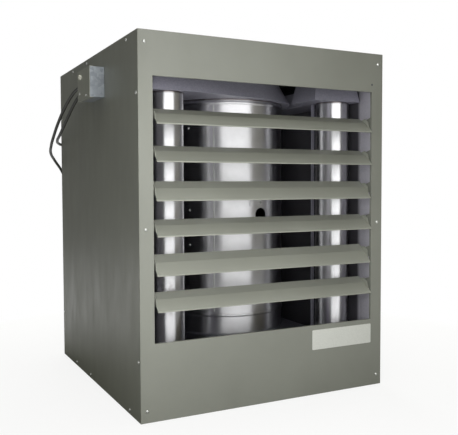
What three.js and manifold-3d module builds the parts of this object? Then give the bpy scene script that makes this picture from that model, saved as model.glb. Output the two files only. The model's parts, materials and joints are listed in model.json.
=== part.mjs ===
// Ceiling mounted, oil fired, propeller type fan heater.
// Millimetres, +Z up. The origin is the centre of the cabinet's underside, and the
// warm air leaves through the louvres at the front, towards -Y.

import * as THREE from 'three';
import * as BufferGeometryUtils from 'three/addons/utils/BufferGeometryUtils.js';
import Module from 'manifold-3d';

const wasm = await Module();
wasm.setup();

// ---------------------------------------------------------------- driving sizes

// Cabinet
const CABINET_WIDTH = 790;
const CABINET_DEPTH = 840;
const CABINET_HEIGHT = 1020;
const SHEET = 1.5;
const FLANGE = 25;
const BEND_RADIUS = 2.5;
const JOINT_GAP = 0.3;

// Discharge opening in the front panel
const STILE_WIDTH = 40;
const HEAD_BAND = 116;
const SILL_BAND = 207;
const REVEAL_DEPTH = 8;

// Louvre blades, each hand set to its own tilt, front edge down, degrees
const LOUVER_TILTS = [34, 34, 41, 32, 42, 34];
const LOUVER_PITCH = 98.2;
const LOUVER_RISE = 9;
const LOUVER_FRONT_LEG = 43;
const LOUVER_REAR_LEG = 33;
const LOUVER_CREASE_ANGLE = 13;
const LOUVER_SHEET = 1.2;
const LOUVER_HEM_DEPTH = 8;
const LOUVER_HEM_RISE = 3;
const LOUVER_SETBACK = 22;
const LOUVER_END_GAP = 7;
const LOUVER_EAR_RADIUS = 11;
const PIVOT_DIAMETER = 6;
const PIVOT_COLLAR_DIAMETER = 13;
const PIVOT_SIDES = 8;
const PIVOT_TAB_HEIGHT = 34;
const PIVOT_TAB_MARGIN = 7;

// Hanger nuts in the top panel
const HANGER_INSET_X = 60;
const HANGER_INSET_Y = 110;
const HANGER_NECK_DIAMETER = 20;
const HANGER_RIM_DIAMETER = 38;
const HANGER_RIM_HEIGHT = 3;
const HANGER_NECK_LENGTH = 16;
const HANGER_BORE_DIAMETER = 9.5;

// Heat shields inside the side panels
const SHIELD_STANDOFF = 10;
const SHIELD_SHEET = 1;
const SHIELD_FUNNEL_DEPTH = 88;
const SHIELD_REAR_SPACE = 170;

// Heat exchanger: a drum between four tubes, with headers above and below
const EXCHANGER_OFFSET_X = 22;
const TUBE_RADIUS = 52;
const TUBE_WALL = 1.5;
const TUBE_SIDE_SPACE = 22.5;
const TUBE_SETBACK = 142;
const TUBE_REAR_SPACE = 278;
const DRUM_RADIUS = 192;
const DRUM_WALL = 2;
const DRUM_BEAD_HEIGHT = 3;
const DRUM_BEAD_WIDTH = 12;
const DRUM_SEAM_RISE = 65;
const DRUM_KNUCKLE = 12;
const HEADER_DROP = 138;
const HEADER_WALL = 2;
const HEADER_OVERHANG = 10;
const HEADER_RISE = 92;
const HEADER_SLOPE_RUN = 46;
const RIGHT_CAP_REACH = 108;
const CONE_OVERHANG = 27;
const CONE_DRAW_IN = 51;
const BOTTOM_HEADER_BASE = 62;
const BOTTOM_HEADER_HEIGHT = 52;
const DRUM_BASE_HEIGHT = 46;
const DRUM_BASE_INSET = 30;
const RAIL_WIDTH = 60;
const SIGHT_PORT_RADIUS = 20;
const SIGHT_PORT_SHIFT = 35;
const SIGHT_PORT_BELOW_HEADER = 350;
const BRACE_WIDTH = 13;
const BRACE_SHEET = 1.5;
const BRACE_SPACE = 9;

// Flue outlet
const FLUE_RADIUS = 76;
const FLUE_WALL = 1.5;
const FLUE_BOX_MARGIN = 13;
const FLUE_BOX_LENGTH = 92;
const FLUE_BOX_SPACE = 26;
const FLUE_STICK_OUT = 62;
const FLUE_SWAGE_SETBACK = 24;
const FLUE_SWAGE_WIDTH = 10;
const FLUE_SWAGE_HEIGHT = 3;

// Propeller fan
const FAN_OFFSET_X = -60;
const FAN_HEIGHT = 630;
const FAN_RADIUS = 228;
const FAN_TIP_GAP = 6;
const FAN_BLADES = 4;
const FAN_PLANE_DEPTH = 34;
const FAN_HUB_RADIUS = 30;
const FAN_HUB_LENGTH = 34;
const FAN_HUB_CHAMFER = 7;
const FAN_BLADE_SHEET = 2;
const FAN_BLADE_PITCH = 27;
const FAN_BLADE_TWIST = 12;
const FAN_BLADE_SWEEP = 14;
const FAN_BLADE_CAMBER = 8;
const FAN_ROOT_CHORD = 66;
const FAN_CHORD_GROWTH = 92;
const FAN_TIP_ROUND = 15;
const FAN_SHAFT_RADIUS = 6.35;
const BELL_RADIUS = 18;
const BELL_THROAT_LENGTH = 30;
const BELL_FLANGE = 18;
const GUARD_WIRE_RADIUS = 2.5;
const GUARD_DEPTH = 52;
const GUARD_SPOKES = 6;
const GUARD_RINGS = 2;
const GUARD_PLATE_RADIUS = 78;
const GUARD_PLATE_SHEET = 3;
const MOTOR_RADIUS = 70;
const MOTOR_LENGTH = 138;

// Burner, on the axis of the drum
const BURNER_RISE = 114;
const SLEEVE_RADIUS = 58;
const SLEEVE_WALL = 3;
const SLEEVE_STICK_OUT = 8;
const SLEEVE_FLANGE = 22;
const SLEEVE_INSIDE_DRUM = 14;
const AIR_TUBE_RADIUS = 50;
const AIR_TUBE_WALL = 2.5;
const AIR_TUBE_INSET = 10;
const BURNER_NECK = 48;
const BURNER_FLANGE_SIZE = 136;
const BURNER_FLANGE_SHEET = 5;
const BURNER_FLANGE_CORNER = 16;
const HOUSING_WIDTH = 104;
const HOUSING_WALL = 3;
const SCROLL_SETBACK = 96;
const SCROLL_DROP = 12;
const SCROLL_RADIUS_START = 74;
const SCROLL_RADIUS_END = 104;
const WHEEL_RADIUS = 60;
const WHEEL_WIDTH = 78;
const WHEEL_BLADES = 14;
const WHEEL_BLADE_DEPTH = 11;
const WHEEL_BLADE_LEAN = 7;
const WHEEL_SHEET = 2.5;
const WHEEL_RIM_WIDTH = 4;
const WHEEL_HUB_LENGTH = 26;
const BURNER_SHAFT_RADIUS = 5;
const BURNER_SHAFT_MOTOR_END = 44;
const BURNER_SHAFT_PUMP_END = 14;
const BURNER_MOTOR_BORE_DEPTH = 46;
const BURNER_MOTOR_RADIUS = 62;
const BURNER_MOTOR_LENGTH = 140;
const INLET_RADIUS = 54;
const INLET_PLATE_RADIUS = 68;
const INLET_PLATE_SHEET = 2.5;
const SHUTTER_RADIUS = 62;
const SHUTTER_SHEET = 2;
const SHUTTER_SLOTS = 4;
const SHUTTER_TAB = 10;
const PUMP_RADIUS = 29;
const PUMP_LENGTH = 58;
const PUMP_COVER_STEP = 6;
const PUMP_COVER_LENGTH = 12;
const PUMP_PORT_RADIUS = 8;
const PUMP_PORT_RISE = 10;
const OIL_LINE_RADIUS = 3.2;
const TRANSFORMER_SIZE = [96, 88, 68];
const TRANSFORMER_LID_DEPTH = 14;
const CONTROL_SIZE = [84, 66, 50];
const CONTROL_SPACE = 8;
const CONTROL_CROWN = 6;
const PLATFORM_SHEET = 3;
const RESET_BUTTON_RADIUS = 7;
const RESET_BUTTON_PROUD = 6;
const RESET_BUTTON_INSIDE = 10;

// Observation port beside the burner
const OBSERVATION_SHIFT = 104;
const OBSERVATION_RISE = 80;
const OBSERVATION_RADIUS = 14;
const OBSERVATION_WALL = 2;
const OBSERVATION_RIM = 6;
const OBSERVATION_COVER_SHEET = 2.5;
const OBSERVATION_COVER_LAP = 5;
const OBSERVATION_STUD_RADIUS = 2.5;

// Control box on the left side panel
const BOX_SETBACK = 291;
const BOX_LENGTH = 133;
const BOX_HEIGHT = 88;
const BOX_DEPTH = 43;
const BOX_TOP_DROP = 52;
const BOX_SHEET = 1.5;
const BOX_COVER_LIP = 10;
const SWITCH_SETBACK = 96;
const SWITCH_DROP = 20;
const SWITCH_RADIUS = 7.5;
const SWITCH_RIM = 3;
const SWITCH_PROUD = 7;
const SWITCH_BODY_SIZE = 29;
const SWITCH_BODY_DEPTH = 22;
const GLAND_DROP = 42;
const GLAND_RADIUS = 10;
const GLAND_LENGTH = 26;
const CABLE_RADIUS = 5;

// ---------------------------------------------------------------- worked out places

const HALF_WIDTH = CABINET_WIDTH / 2;
const HALF_DEPTH = CABINET_DEPTH / 2;
const FRONT_Y = -HALF_DEPTH;
const REAR_Y = HALF_DEPTH;
const OPENING_HALF_WIDTH = HALF_WIDTH - STILE_WIDTH;
const OPENING_TOP = CABINET_HEIGHT - HEAD_BAND;
const OPENING_BOTTOM = SILL_BAND;
const OPENING_MIDDLE = (OPENING_TOP + OPENING_BOTTOM) / 2;

const LOUVER_AXIS_Y = FRONT_Y + LOUVER_SETBACK;
const LOUVER_TOP_AXIS = OPENING_MIDDLE + LOUVER_RISE
  + (LOUVER_TILTS.length - 1) * LOUVER_PITCH / 2;
const LOUVER_HALF_LENGTH = OPENING_HALF_WIDTH - LOUVER_END_GAP;

const SHIELD_FACE_X = HALF_WIDTH - SHEET - SHIELD_STANDOFF;
const TUBE_HALF_SPAN = SHIELD_FACE_X - TUBE_SIDE_SPACE - TUBE_RADIUS - EXCHANGER_OFFSET_X;
const TUBE_LEFT_X = EXCHANGER_OFFSET_X - TUBE_HALF_SPAN;
const TUBE_RIGHT_X = EXCHANGER_OFFSET_X + TUBE_HALF_SPAN;
const TUBE_FRONT_Y = FRONT_Y + TUBE_SETBACK;
const TUBE_REAR_Y = REAR_Y - TUBE_REAR_SPACE;
const DRUM_X = EXCHANGER_OFFSET_X;
const DRUM_Y = (TUBE_FRONT_Y + TUBE_REAR_Y) / 2;
const HEADER_Z = CABINET_HEIGHT - HEADER_DROP;
const TUBE_BOTTOM_Z = BOTTOM_HEADER_BASE + BOTTOM_HEADER_HEIGHT;
const DRUM_BOTTOM_Z = TUBE_BOTTOM_Z + DRUM_BASE_HEIGHT;
const HEADER_REACH = TUBE_RADIUS + HEADER_OVERHANG;
const CONE_RADIUS = DRUM_RADIUS + CONE_OVERHANG;

const FLUE_BOX_FRONT = TUBE_REAR_Y + TUBE_RADIUS + FLUE_BOX_SPACE;
const FLUE_BOX_REAR = FLUE_BOX_FRONT + FLUE_BOX_LENGTH;
const FLUE_X = TUBE_RIGHT_X + HEADER_REACH - FLUE_BOX_MARGIN - FLUE_RADIUS;
const FLUE_Z = HEADER_Z + HEADER_RISE - FLUE_BOX_MARGIN - FLUE_RADIUS;

const THROAT_RADIUS = FAN_RADIUS + FAN_TIP_GAP;
const BELL_MOUTH_RADIUS = THROAT_RADIUS + BELL_RADIUS;
const FAN_Y = REAR_Y - FAN_PLANE_DEPTH;
const GUARD_PLATE_Y = REAR_Y + SHEET + GUARD_DEPTH;
const MOTOR_FRONT_Y = GUARD_PLATE_Y + GUARD_PLATE_SHEET;

const BURNER_Z = DRUM_BOTTOM_Z + BURNER_RISE;
const HOUSING_FRONT = SLEEVE_STICK_OUT + BURNER_FLANGE_SHEET + BURNER_NECK;
const AIR_TUBE_END = DRUM_Y + DRUM_RADIUS - REAR_Y - AIR_TUBE_INSET;
const SCROLL_Y = HOUSING_FRONT + SCROLL_SETBACK;
const SCROLL_Z = -SCROLL_DROP;
const HOUSING_TOP = SCROLL_Z + SCROLL_RADIUS_START;

const BOX_FACE_X = -HALF_WIDTH - BOX_DEPTH;
const BOX_FRONT_Y = FRONT_Y + BOX_SETBACK;
const BOX_REAR_Y = BOX_FRONT_Y + BOX_LENGTH;
const BOX_TOP_Z = CABINET_HEIGHT - BOX_TOP_DROP;
const BOX_BOTTOM_Z = BOX_TOP_Z - BOX_HEIGHT;

// ---------------------------------------------------------------- finishes

const finish = (color, roughness, metalness) =>
  new THREE.MeshStandardMaterial({ color, roughness, metalness });
const cabinetPaint = () => finish(0x83867a, 0.5, 0.1);
const polishedSteel = () => finish(0xb9b9bb, 0.25, 0.95);
const aluminisedSteel = () => finish(0x8b8d96, 0.45, 0.85);
const galvanisedSteel = () => finish(0xa4abb2, 0.45, 0.8);
const blackEnamel = () => finish(0x2b2c2d, 0.5, 0.2);
const motorPaint = () => finish(0x3c4146, 0.5, 0.2);
const castAluminium = () => finish(0x9fa2a4, 0.5, 0.8);
const burnerPaint = () => finish(0x44484a, 0.45, 0.2);
const cableJacket = () => finish(0x33342f, 0.55, 0.0);
const whitePlastic = () => finish(0xe6e5da, 0.4, 0.0);
const redPlastic = () => finish(0xa32a22, 0.4, 0.0);
const copper = () => finish(0xb26b45, 0.35, 0.9);

// ---------------------------------------------------------------- shared shaping

function asSolid(geometry) {
  const bare = geometry.index ? geometry.toNonIndexed() : geometry.clone();
  for (const name of Object.keys(bare.attributes)) {
    if (name !== 'position') bare.deleteAttribute(name);
  }
  const merged = BufferGeometryUtils.mergeVertices(bare, 1e-4);
  const corners = merged.index.array;
  const triangles = [];
  for (let i = 0; i < corners.length; i += 3) {
    const [a, b, c] = corners.slice(i, i + 3);
    if (a !== b && b !== c && c !== a) triangles.push(a, b, c);
  }
  return new wasm.Manifold(new wasm.Mesh({
    numProp: 3,
    vertProperties: new Float32Array(merged.attributes.position.array),
    triVerts: new Uint32Array(triangles),
  }));
}

function asGeometry(solid) {
  const mesh = solid.getMesh();
  const geometry = new THREE.BufferGeometry();
  geometry.setAttribute('position', new THREE.BufferAttribute(mesh.vertProperties, 3));
  geometry.setIndex(new THREE.BufferAttribute(mesh.triVerts, 1));
  geometry.computeVertexNormals();
  return geometry;
}

function join(...geometries) {
  let solid = asSolid(geometries[0]);
  for (const geometry of geometries.slice(1)) {
    solid = solid.add(asSolid(geometry));
  }
  return asGeometry(solid);
}

function cut(base, ...tools) {
  let solid = asSolid(base);
  for (const tool of tools) {
    solid = solid.subtract(asSolid(tool));
  }
  return asGeometry(solid);
}

function move(geometry, x, y, z) {
  return geometry.translate(x, y, z);
}

// A block between two corners.
function block(low, high) {
  const size = high.map((value, axis) => value - low[axis]);
  const middle = high.map((value, axis) => (value + low[axis]) / 2);
  return move(new THREE.BoxGeometry(...size), ...middle);
}

// A round bar from start to end along one axis, at a place across it.
function bar(axis, radius, start, end, across, sides = 24) {
  const geometry = new THREE.CylinderGeometry(radius, radius, end - start, sides);
  const middle = (start + end) / 2;
  if (axis === 'x') {
    geometry.rotateZ(Math.PI / 2);
    return move(geometry, middle, across[0], across[1]);
  }
  if (axis === 'y') {
    return move(geometry, across[0], middle, across[1]);
  }
  geometry.rotateX(Math.PI / 2);
  return move(geometry, across[0], across[1], middle);
}

// The radius of a drilled hole whose flats stay one gap clear of a round bar.
const clearing = (radius, sides) => (radius + JOINT_GAP) / Math.cos(Math.PI / sides);

// A profile of [radius, along] points turned round the named axis.
function turned(profile, axis, sides) {
  const points = profile.map(([radius, along]) => new THREE.Vector2(radius, along));
  const geometry = new THREE.LatheGeometry(points, sides);
  if (axis === 'z') geometry.rotateX(Math.PI / 2);
  if (axis === 'x') geometry.rotateZ(-Math.PI / 2);
  return asGeometry(outward(asSolid(geometry), geometry));
}

// A revolved profile may wind either way round; this one always faces out.
function outward(solid, geometry) {
  if (solid.volume() > 0) return solid;
  const flipped = geometry.index ? geometry.toNonIndexed() : geometry;
  const positions = flipped.attributes.position.array;
  for (let i = 0; i < positions.length; i += 9) {
    for (let k = 0; k < 3; k += 1) {
      const held = positions[i + 3 + k];
      positions[i + 3 + k] = positions[i + 6 + k];
      positions[i + 6 + k] = held;
    }
  }
  return asSolid(flipped);
}

// A closed ring section: [radius, along] corners, last joined to first.
function ringSection(corners) {
  return [...corners, corners[0]];
}

// A pipe section, open at both ends.
function pipe(axis, outer, wall, start, end, sides = 24) {
  const section = [[outer - wall, start], [outer, start], [outer, end], [outer - wall, end]];
  return turned(ringSection(section), axis, sides);
}

// Both faces of a folded sheet whose middle line runs through the corners.
function foldedSheet(corners, thickness, radius, steps = 2) {
  const points = corners.map(([a, b]) => new THREE.Vector2(a, b));
  const line = [];
  const heading = (from, to) => to.clone().sub(from).normalize();
  line.push([points[0], heading(points[0], points[1])]);
  for (let i = 1; i < points.length - 1; i += 1) {
    const before = heading(points[i - 1], points[i]);
    const after = heading(points[i], points[i + 1]);
    const turn = Math.atan2(before.cross(after), before.dot(after));
    const trim = radius * Math.tan(Math.abs(turn) / 2);
    const start = points[i].clone().addScaledVector(before, -trim);
    const side = new THREE.Vector2(-before.y, before.x).multiplyScalar(Math.sign(turn));
    const centre = start.clone().addScaledVector(side, radius);
    for (let s = 0; s <= steps; s += 1) {
      const swing = turn * s / steps;
      const spoke = start.clone().sub(centre).rotateAround(new THREE.Vector2(), swing);
      const direction = before.clone().rotateAround(new THREE.Vector2(), swing);
      line.push([centre.clone().add(spoke), direction]);
    }
  }
  const last = points.length - 1;
  line.push([points[last], heading(points[last - 1], points[last])]);
  const offset = (side) => line.map(([point, direction]) =>
    new THREE.Vector2(point.x - direction.y * side, point.y + direction.x * side));
  return new THREE.Shape([...offset(thickness / 2), ...offset(-thickness / 2).reverse()]);
}

// An outline drawn in the YZ plane, pushed along X from start to end.
function pushedAlongX(shape, start, end) {
  const geometry = new THREE.ExtrudeGeometry(shape, { depth: end - start, bevelEnabled: false });
  geometry.rotateX(Math.PI / 2);
  geometry.rotateZ(Math.PI / 2);
  return move(geometry, start, 0, 0);
}

// An outline drawn in the XZ plane, pushed along Y from start to end.
function pushedAlongY(shape, start, end) {
  const geometry = new THREE.ExtrudeGeometry(shape, { depth: end - start, bevelEnabled: false });
  geometry.rotateX(Math.PI / 2);
  return move(geometry, 0, end, 0);
}

// An outline drawn in the XY plane, pushed up Z from start to end.
function pushedAlongZ(shape, start, end) {
  const geometry = new THREE.ExtrudeGeometry(shape, { depth: end - start, bevelEnabled: false });
  return move(geometry, 0, 0, start);
}

function rectangle(left, low, right, high) {
  return new THREE.Shape([
    new THREE.Vector2(left, low),
    new THREE.Vector2(right, low),
    new THREE.Vector2(right, high),
    new THREE.Vector2(left, high),
  ]);
}

function roundedRectangle(left, low, right, high, radius, steps = 4) {
  const corners = [[right - radius, high - radius], [left + radius, high - radius],
    [left + radius, low + radius], [right - radius, low + radius]];
  const points = corners.flatMap(([x, y], quarter) =>
    Array.from({ length: steps + 1 }, (_, s) => {
      const angle = (quarter + s / steps) * Math.PI / 2;
      return new THREE.Vector2(x + radius * Math.cos(angle), y + radius * Math.sin(angle));
    }));
  return new THREE.Shape(points);
}

function roundHole(shape, x, y, radius, sides) {
  const hole = new THREE.Path();
  const points = Array.from({ length: sides }, (_, i) => {
    const angle = -2 * Math.PI * i / sides;
    return new THREE.Vector2(x + radius * Math.cos(angle), y + radius * Math.sin(angle));
  });
  hole.setFromPoints(points);
  shape.holes.push(hole);
}

// A hood: a rectangle drawn in to a smaller one above or below it.
function hood(low, high, lowZ, highZ) {
  const corners = (box, z) => [
    [box[0], box[1], z], [box[2], box[1], z], [box[2], box[3], z], [box[0], box[3], z]];
  const points = [...corners(low, lowZ), ...corners(high, highZ)];
  const faces = [[0, 3, 2, 1], [4, 5, 6, 7]];
  for (let i = 0; i < 4; i += 1) {
    const next = (i + 1) % 4;
    faces.push([i, next, next + 4, i + 4]);
  }
  const geometry = new THREE.BufferGeometry();
  geometry.setAttribute('position', new THREE.Float32BufferAttribute(points.flat(), 3));
  geometry.setIndex(faces.flatMap(([a, b, c, d]) => [a, b, c, a, c, d]));
  return geometry;
}

// A round rod or tube that follows a smooth curve through points.
function rodAlong(points, radius, sides, steps) {
  const curve = new THREE.CatmullRomCurve3(points.map((p) => new THREE.Vector3(...p)));
  const section = new THREE.Shape(Array.from({ length: sides }, (_, i) => {
    const angle = 2 * Math.PI * i / sides;
    return new THREE.Vector2(radius * Math.cos(angle), radius * Math.sin(angle));
  }));
  return new THREE.ExtrudeGeometry(section, { steps, extrudePath: curve, bevelEnabled: false });
}

const group = new THREE.Group();
const degrees = (value) => value * Math.PI / 180;

function add(name, geometry, material, parent = group) {
  const mesh = new THREE.Mesh(geometry, material);
  mesh.name = name;
  parent.add(mesh);
  return mesh;
}

// ---------------------------------------------------------------- cabinet

const panelMiddle = SHEET / 2;
const innerFrontY = FRONT_Y + SHEET + panelMiddle;
const innerRearY = REAR_Y - SHEET - panelMiddle;

function frontPanel() {
  const face = rectangle(-HALF_WIDTH, 0, HALF_WIDTH, CABINET_HEIGHT);
  const opening = rectangle(-OPENING_HALF_WIDTH, OPENING_BOTTOM, OPENING_HALF_WIDTH, OPENING_TOP);
  face.holes.push(opening);
  const plate = pushedAlongY(face, FRONT_Y, FRONT_Y + SHEET);
  const rim = rectangle(-OPENING_HALF_WIDTH - SHEET, OPENING_BOTTOM - SHEET,
    OPENING_HALF_WIDTH + SHEET, OPENING_TOP + SHEET);
  rim.holes.push(opening);
  const reveal = pushedAlongY(rim, FRONT_Y, FRONT_Y + REVEAL_DEPTH);
  return join(plate, reveal, ...pivotTabs());
}

// Each blade turns in a pair of tabs that stand back from the sides of the opening.
function pivotTabs() {
  const rear = LOUVER_AXIS_Y + PIVOT_DIAMETER / 2 + PIVOT_TAB_MARGIN;
  const root = PIVOT_TAB_HEIGHT / 2;
  const crown = PIVOT_DIAMETER / 2 + PIVOT_TAB_MARGIN;
  return LOUVER_TILTS.flatMap((tilt, i) => {
    const z = LOUVER_TOP_AXIS - i * LOUVER_PITCH;
    const tab = new THREE.Shape([[FRONT_Y + SHEET / 2, -root], [FRONT_Y + REVEAL_DEPTH, -root],
      [rear, -crown], [rear, crown], [FRONT_Y + REVEAL_DEPTH, root], [FRONT_Y + SHEET / 2, root],
    ].map(([y, rise]) => new THREE.Vector2(y, z + rise)));
    roundHole(tab, LOUVER_AXIS_Y, z, clearing(PIVOT_DIAMETER / 2, PIVOT_SIDES),
      PIVOT_SIDES);
    return [pushedAlongX(tab, -OPENING_HALF_WIDTH - SHEET, -OPENING_HALF_WIDTH),
      pushedAlongX(tab, OPENING_HALF_WIDTH, OPENING_HALF_WIDTH + SHEET)];
  });
}

function sidePanel(side) {
  const wall = side * (HALF_WIDTH - panelMiddle);
  const flangeEnd = side * (HALF_WIDTH - FLANGE);
  const section = foldedSheet([
    [flangeEnd, innerFrontY], [wall, innerFrontY], [wall, innerRearY], [flangeEnd, innerRearY],
  ], SHEET, BEND_RADIUS);
  return asGeometry(asSolid(pushedAlongZ(section, SHEET, CABINET_HEIGHT - SHEET)));
}

// The top and bottom panels are trays whose front and rear flanges fit between
// the flanges of the side panels.
function tray(plateLow, plateHigh, flangeEnd) {
  const middle = (plateLow + plateHigh) / 2;
  const section = foldedSheet([
    [innerFrontY, flangeEnd], [innerFrontY, middle], [innerRearY, middle], [innerRearY, flangeEnd],
  ], SHEET, BEND_RADIUS);
  const reach = HALF_WIDTH - FLANGE - JOINT_GAP;
  const plate = block([-HALF_WIDTH, FRONT_Y + SHEET, plateLow], [HALF_WIDTH, REAR_Y - SHEET, plateHigh]);
  return join(plate, pushedAlongX(section, -reach, reach));
}

const hangerPlaces = [-1, 1].flatMap((side) => [-1, 1].map((end) => [
  side * (HALF_WIDTH - HANGER_INSET_X), end * (HALF_DEPTH - HANGER_INSET_Y)]));

function topPanel() {
  const sheet = tray(CABINET_HEIGHT - SHEET, CABINET_HEIGHT, CABINET_HEIGHT - FLANGE);
  const holes = hangerPlaces.map((place) => bar('z', clearing(HANGER_NECK_DIAMETER / 2, 12),
    CABINET_HEIGHT - FLANGE, CABINET_HEIGHT + FLANGE, place, 12));
  return cut(sheet, ...holes);
}

function rearPanel() {
  const face = rectangle(-HALF_WIDTH, 0, HALF_WIDTH, CABINET_HEIGHT);
  roundHole(face, FAN_OFFSET_X, FAN_HEIGHT, clearing(BELL_MOUTH_RADIUS, 32), 32);
  roundHole(face, DRUM_X, BURNER_Z, clearing(SLEEVE_RADIUS, 24), 24);
  roundHole(face, FLUE_X, FLUE_Z, clearing(FLUE_RADIUS, 24), 24);
  roundHole(face, DRUM_X + OBSERVATION_SHIFT, BURNER_Z + OBSERVATION_RISE,
    clearing(OBSERVATION_RADIUS, 16), 16);
  return asGeometry(asSolid(pushedAlongY(face, REAR_Y - SHEET, REAR_Y)));
}

function hangerNut() {
  const top = CABINET_HEIGHT + HANGER_RIM_HEIGHT;
  return turned(ringSection([
    [HANGER_BORE_DIAMETER / 2, CABINET_HEIGHT - HANGER_NECK_LENGTH],
    [HANGER_NECK_DIAMETER / 2, CABINET_HEIGHT - HANGER_NECK_LENGTH],
    [HANGER_NECK_DIAMETER / 2, CABINET_HEIGHT],
    [HANGER_RIM_DIAMETER / 2, CABINET_HEIGHT],
    [HANGER_RIM_DIAMETER / 2, top],
    [HANGER_BORE_DIAMETER / 2, top],
  ]), 'z', 12);
}

add('front_panel', frontPanel(), cabinetPaint());
add('side_panel_left', sidePanel(-1), cabinetPaint());
add('side_panel_right', sidePanel(1), cabinetPaint());
add('top_panel', topPanel(), cabinetPaint());
add('bottom_panel', tray(0, SHEET, FLANGE), cabinetPaint());
add('rear_panel', rearPanel(), cabinetPaint());
hangerPlaces.forEach(([x, y], i) => {
  add(`hanger_nut_${i + 1}`, hangerNut(), galvanisedSteel()).position.set(x, y, 0);
});

// A shield stands off each side panel on a returned rear edge. Its front flares in
// to the edge of the discharge opening, behind a lip on the stile.
function heatShield(side) {
  const seat = side * (HALF_WIDTH - SHEET);
  const wall = side * (SHIELD_FACE_X - SHIELD_SHEET / 2);
  const lipInner = side * (OPENING_HALF_WIDTH + SHEET + JOINT_GAP + SHIELD_SHEET / 2);
  const lipOuter = side * (HALF_WIDTH - FLANGE - JOINT_GAP);
  const start = FRONT_Y + SHEET + JOINT_GAP + SHIELD_SHEET / 2;
  const end = REAR_Y - SHIELD_REAR_SPACE;
  const section = foldedSheet([[lipOuter, start], [lipInner, start],
    [wall, FRONT_Y + SHIELD_FUNNEL_DEPTH], [wall, end], [seat, end]], SHIELD_SHEET, BEND_RADIUS);
  return asGeometry(asSolid(pushedAlongZ(section, FLANGE + JOINT_GAP,
    CABINET_HEIGHT - FLANGE - JOINT_GAP)));
}

add('heat_shield_left', heatShield(-1), aluminisedSteel());
add('heat_shield_right', heatShield(1), aluminisedSteel());

// ---------------------------------------------------------------- louvres

// The blade is drawn level, with its crease on the pivot line at the origin.
function louverBlade() {
  const slope = degrees(LOUVER_CREASE_ANGLE / 2);
  const along = (length) => [-length * Math.cos(slope), -length * Math.sin(slope)];
  const under = [Math.sin(slope), -Math.cos(slope)];
  const nose = along(LOUVER_FRONT_LEG);
  const lip = [nose[0] + under[0] * LOUVER_HEM_RISE, nose[1] + under[1] * LOUVER_HEM_RISE];
  const back = along(-LOUVER_HEM_DEPTH);
  const hemEnd = [lip[0] + back[0], lip[1] + back[1]];
  const tail = [LOUVER_REAR_LEG * Math.cos(slope), -LOUVER_REAR_LEG * Math.sin(slope)];
  const section = foldedSheet([tail, [0, 0], nose, lip, hemEnd], LOUVER_SHEET,
    LOUVER_HEM_RISE / 2 - 0.1, 1);
  const parts = [pushedAlongX(section, -LOUVER_HALF_LENGTH, LOUVER_HALF_LENGTH)];
  const ear = new THREE.Shape([
    [-0.62 * LOUVER_FRONT_LEG, -LOUVER_EAR_RADIUS * 0.35],
    [-0.5 * LOUVER_EAR_RADIUS, -0.8 * LOUVER_EAR_RADIUS],
    [0.5 * LOUVER_EAR_RADIUS, -0.8 * LOUVER_EAR_RADIUS],
    [0.7 * LOUVER_REAR_LEG, -LOUVER_EAR_RADIUS * 0.3],
    [0.8 * LOUVER_EAR_RADIUS, LOUVER_EAR_RADIUS],
    [-0.8 * LOUVER_EAR_RADIUS, LOUVER_EAR_RADIUS],
  ].map(([y, z]) => new THREE.Vector2(y, z)));
  const collarEnd = LOUVER_END_GAP - JOINT_GAP;
  const pinEnd = LOUVER_END_GAP + 2 * SHEET;
  for (const side of [-1, 1]) {
    const face = side * LOUVER_HALF_LENGTH;
    const earInner = side * (LOUVER_HALF_LENGTH - SHEET);
    parts.push(pushedAlongX(ear, Math.min(face, earInner), Math.max(face, earInner)));
    const pin = turned([
      [0, -0.5 * SHEET], [PIVOT_COLLAR_DIAMETER / 2, -0.5 * SHEET],
      [PIVOT_COLLAR_DIAMETER / 2, collarEnd], [PIVOT_DIAMETER / 2, collarEnd],
      [PIVOT_DIAMETER / 2, pinEnd], [0, pinEnd],
    ], 'x', PIVOT_SIDES);
    if (side < 0) pin.rotateZ(Math.PI);
    parts.push(move(pin, face, 0, 0));
  }
  return join(...parts);
}

LOUVER_TILTS.forEach((tilt, i) => {
  const blade = add(`louver_blade_${i + 1}`, louverBlade(), cabinetPaint());
  blade.position.set(0, LOUVER_AXIS_Y, LOUVER_TOP_AXIS - i * LOUVER_PITCH);
  blade.rotation.x = degrees(tilt);
});

// ---------------------------------------------------------------- heat exchanger

const tubePlaces = {
  front_left: [TUBE_LEFT_X, TUBE_FRONT_Y],
  rear_left: [TUBE_LEFT_X, TUBE_REAR_Y],
  front_right: [TUBE_RIGHT_X, TUBE_FRONT_Y],
  rear_right: [TUBE_RIGHT_X, TUBE_REAR_Y],
};

const bead = (radius, height) => [
  [radius, height - DRUM_BEAD_WIDTH / 2],
  [radius + DRUM_BEAD_HEIGHT, height],
  [radius, height + DRUM_BEAD_WIDTH / 2],
];

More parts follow.
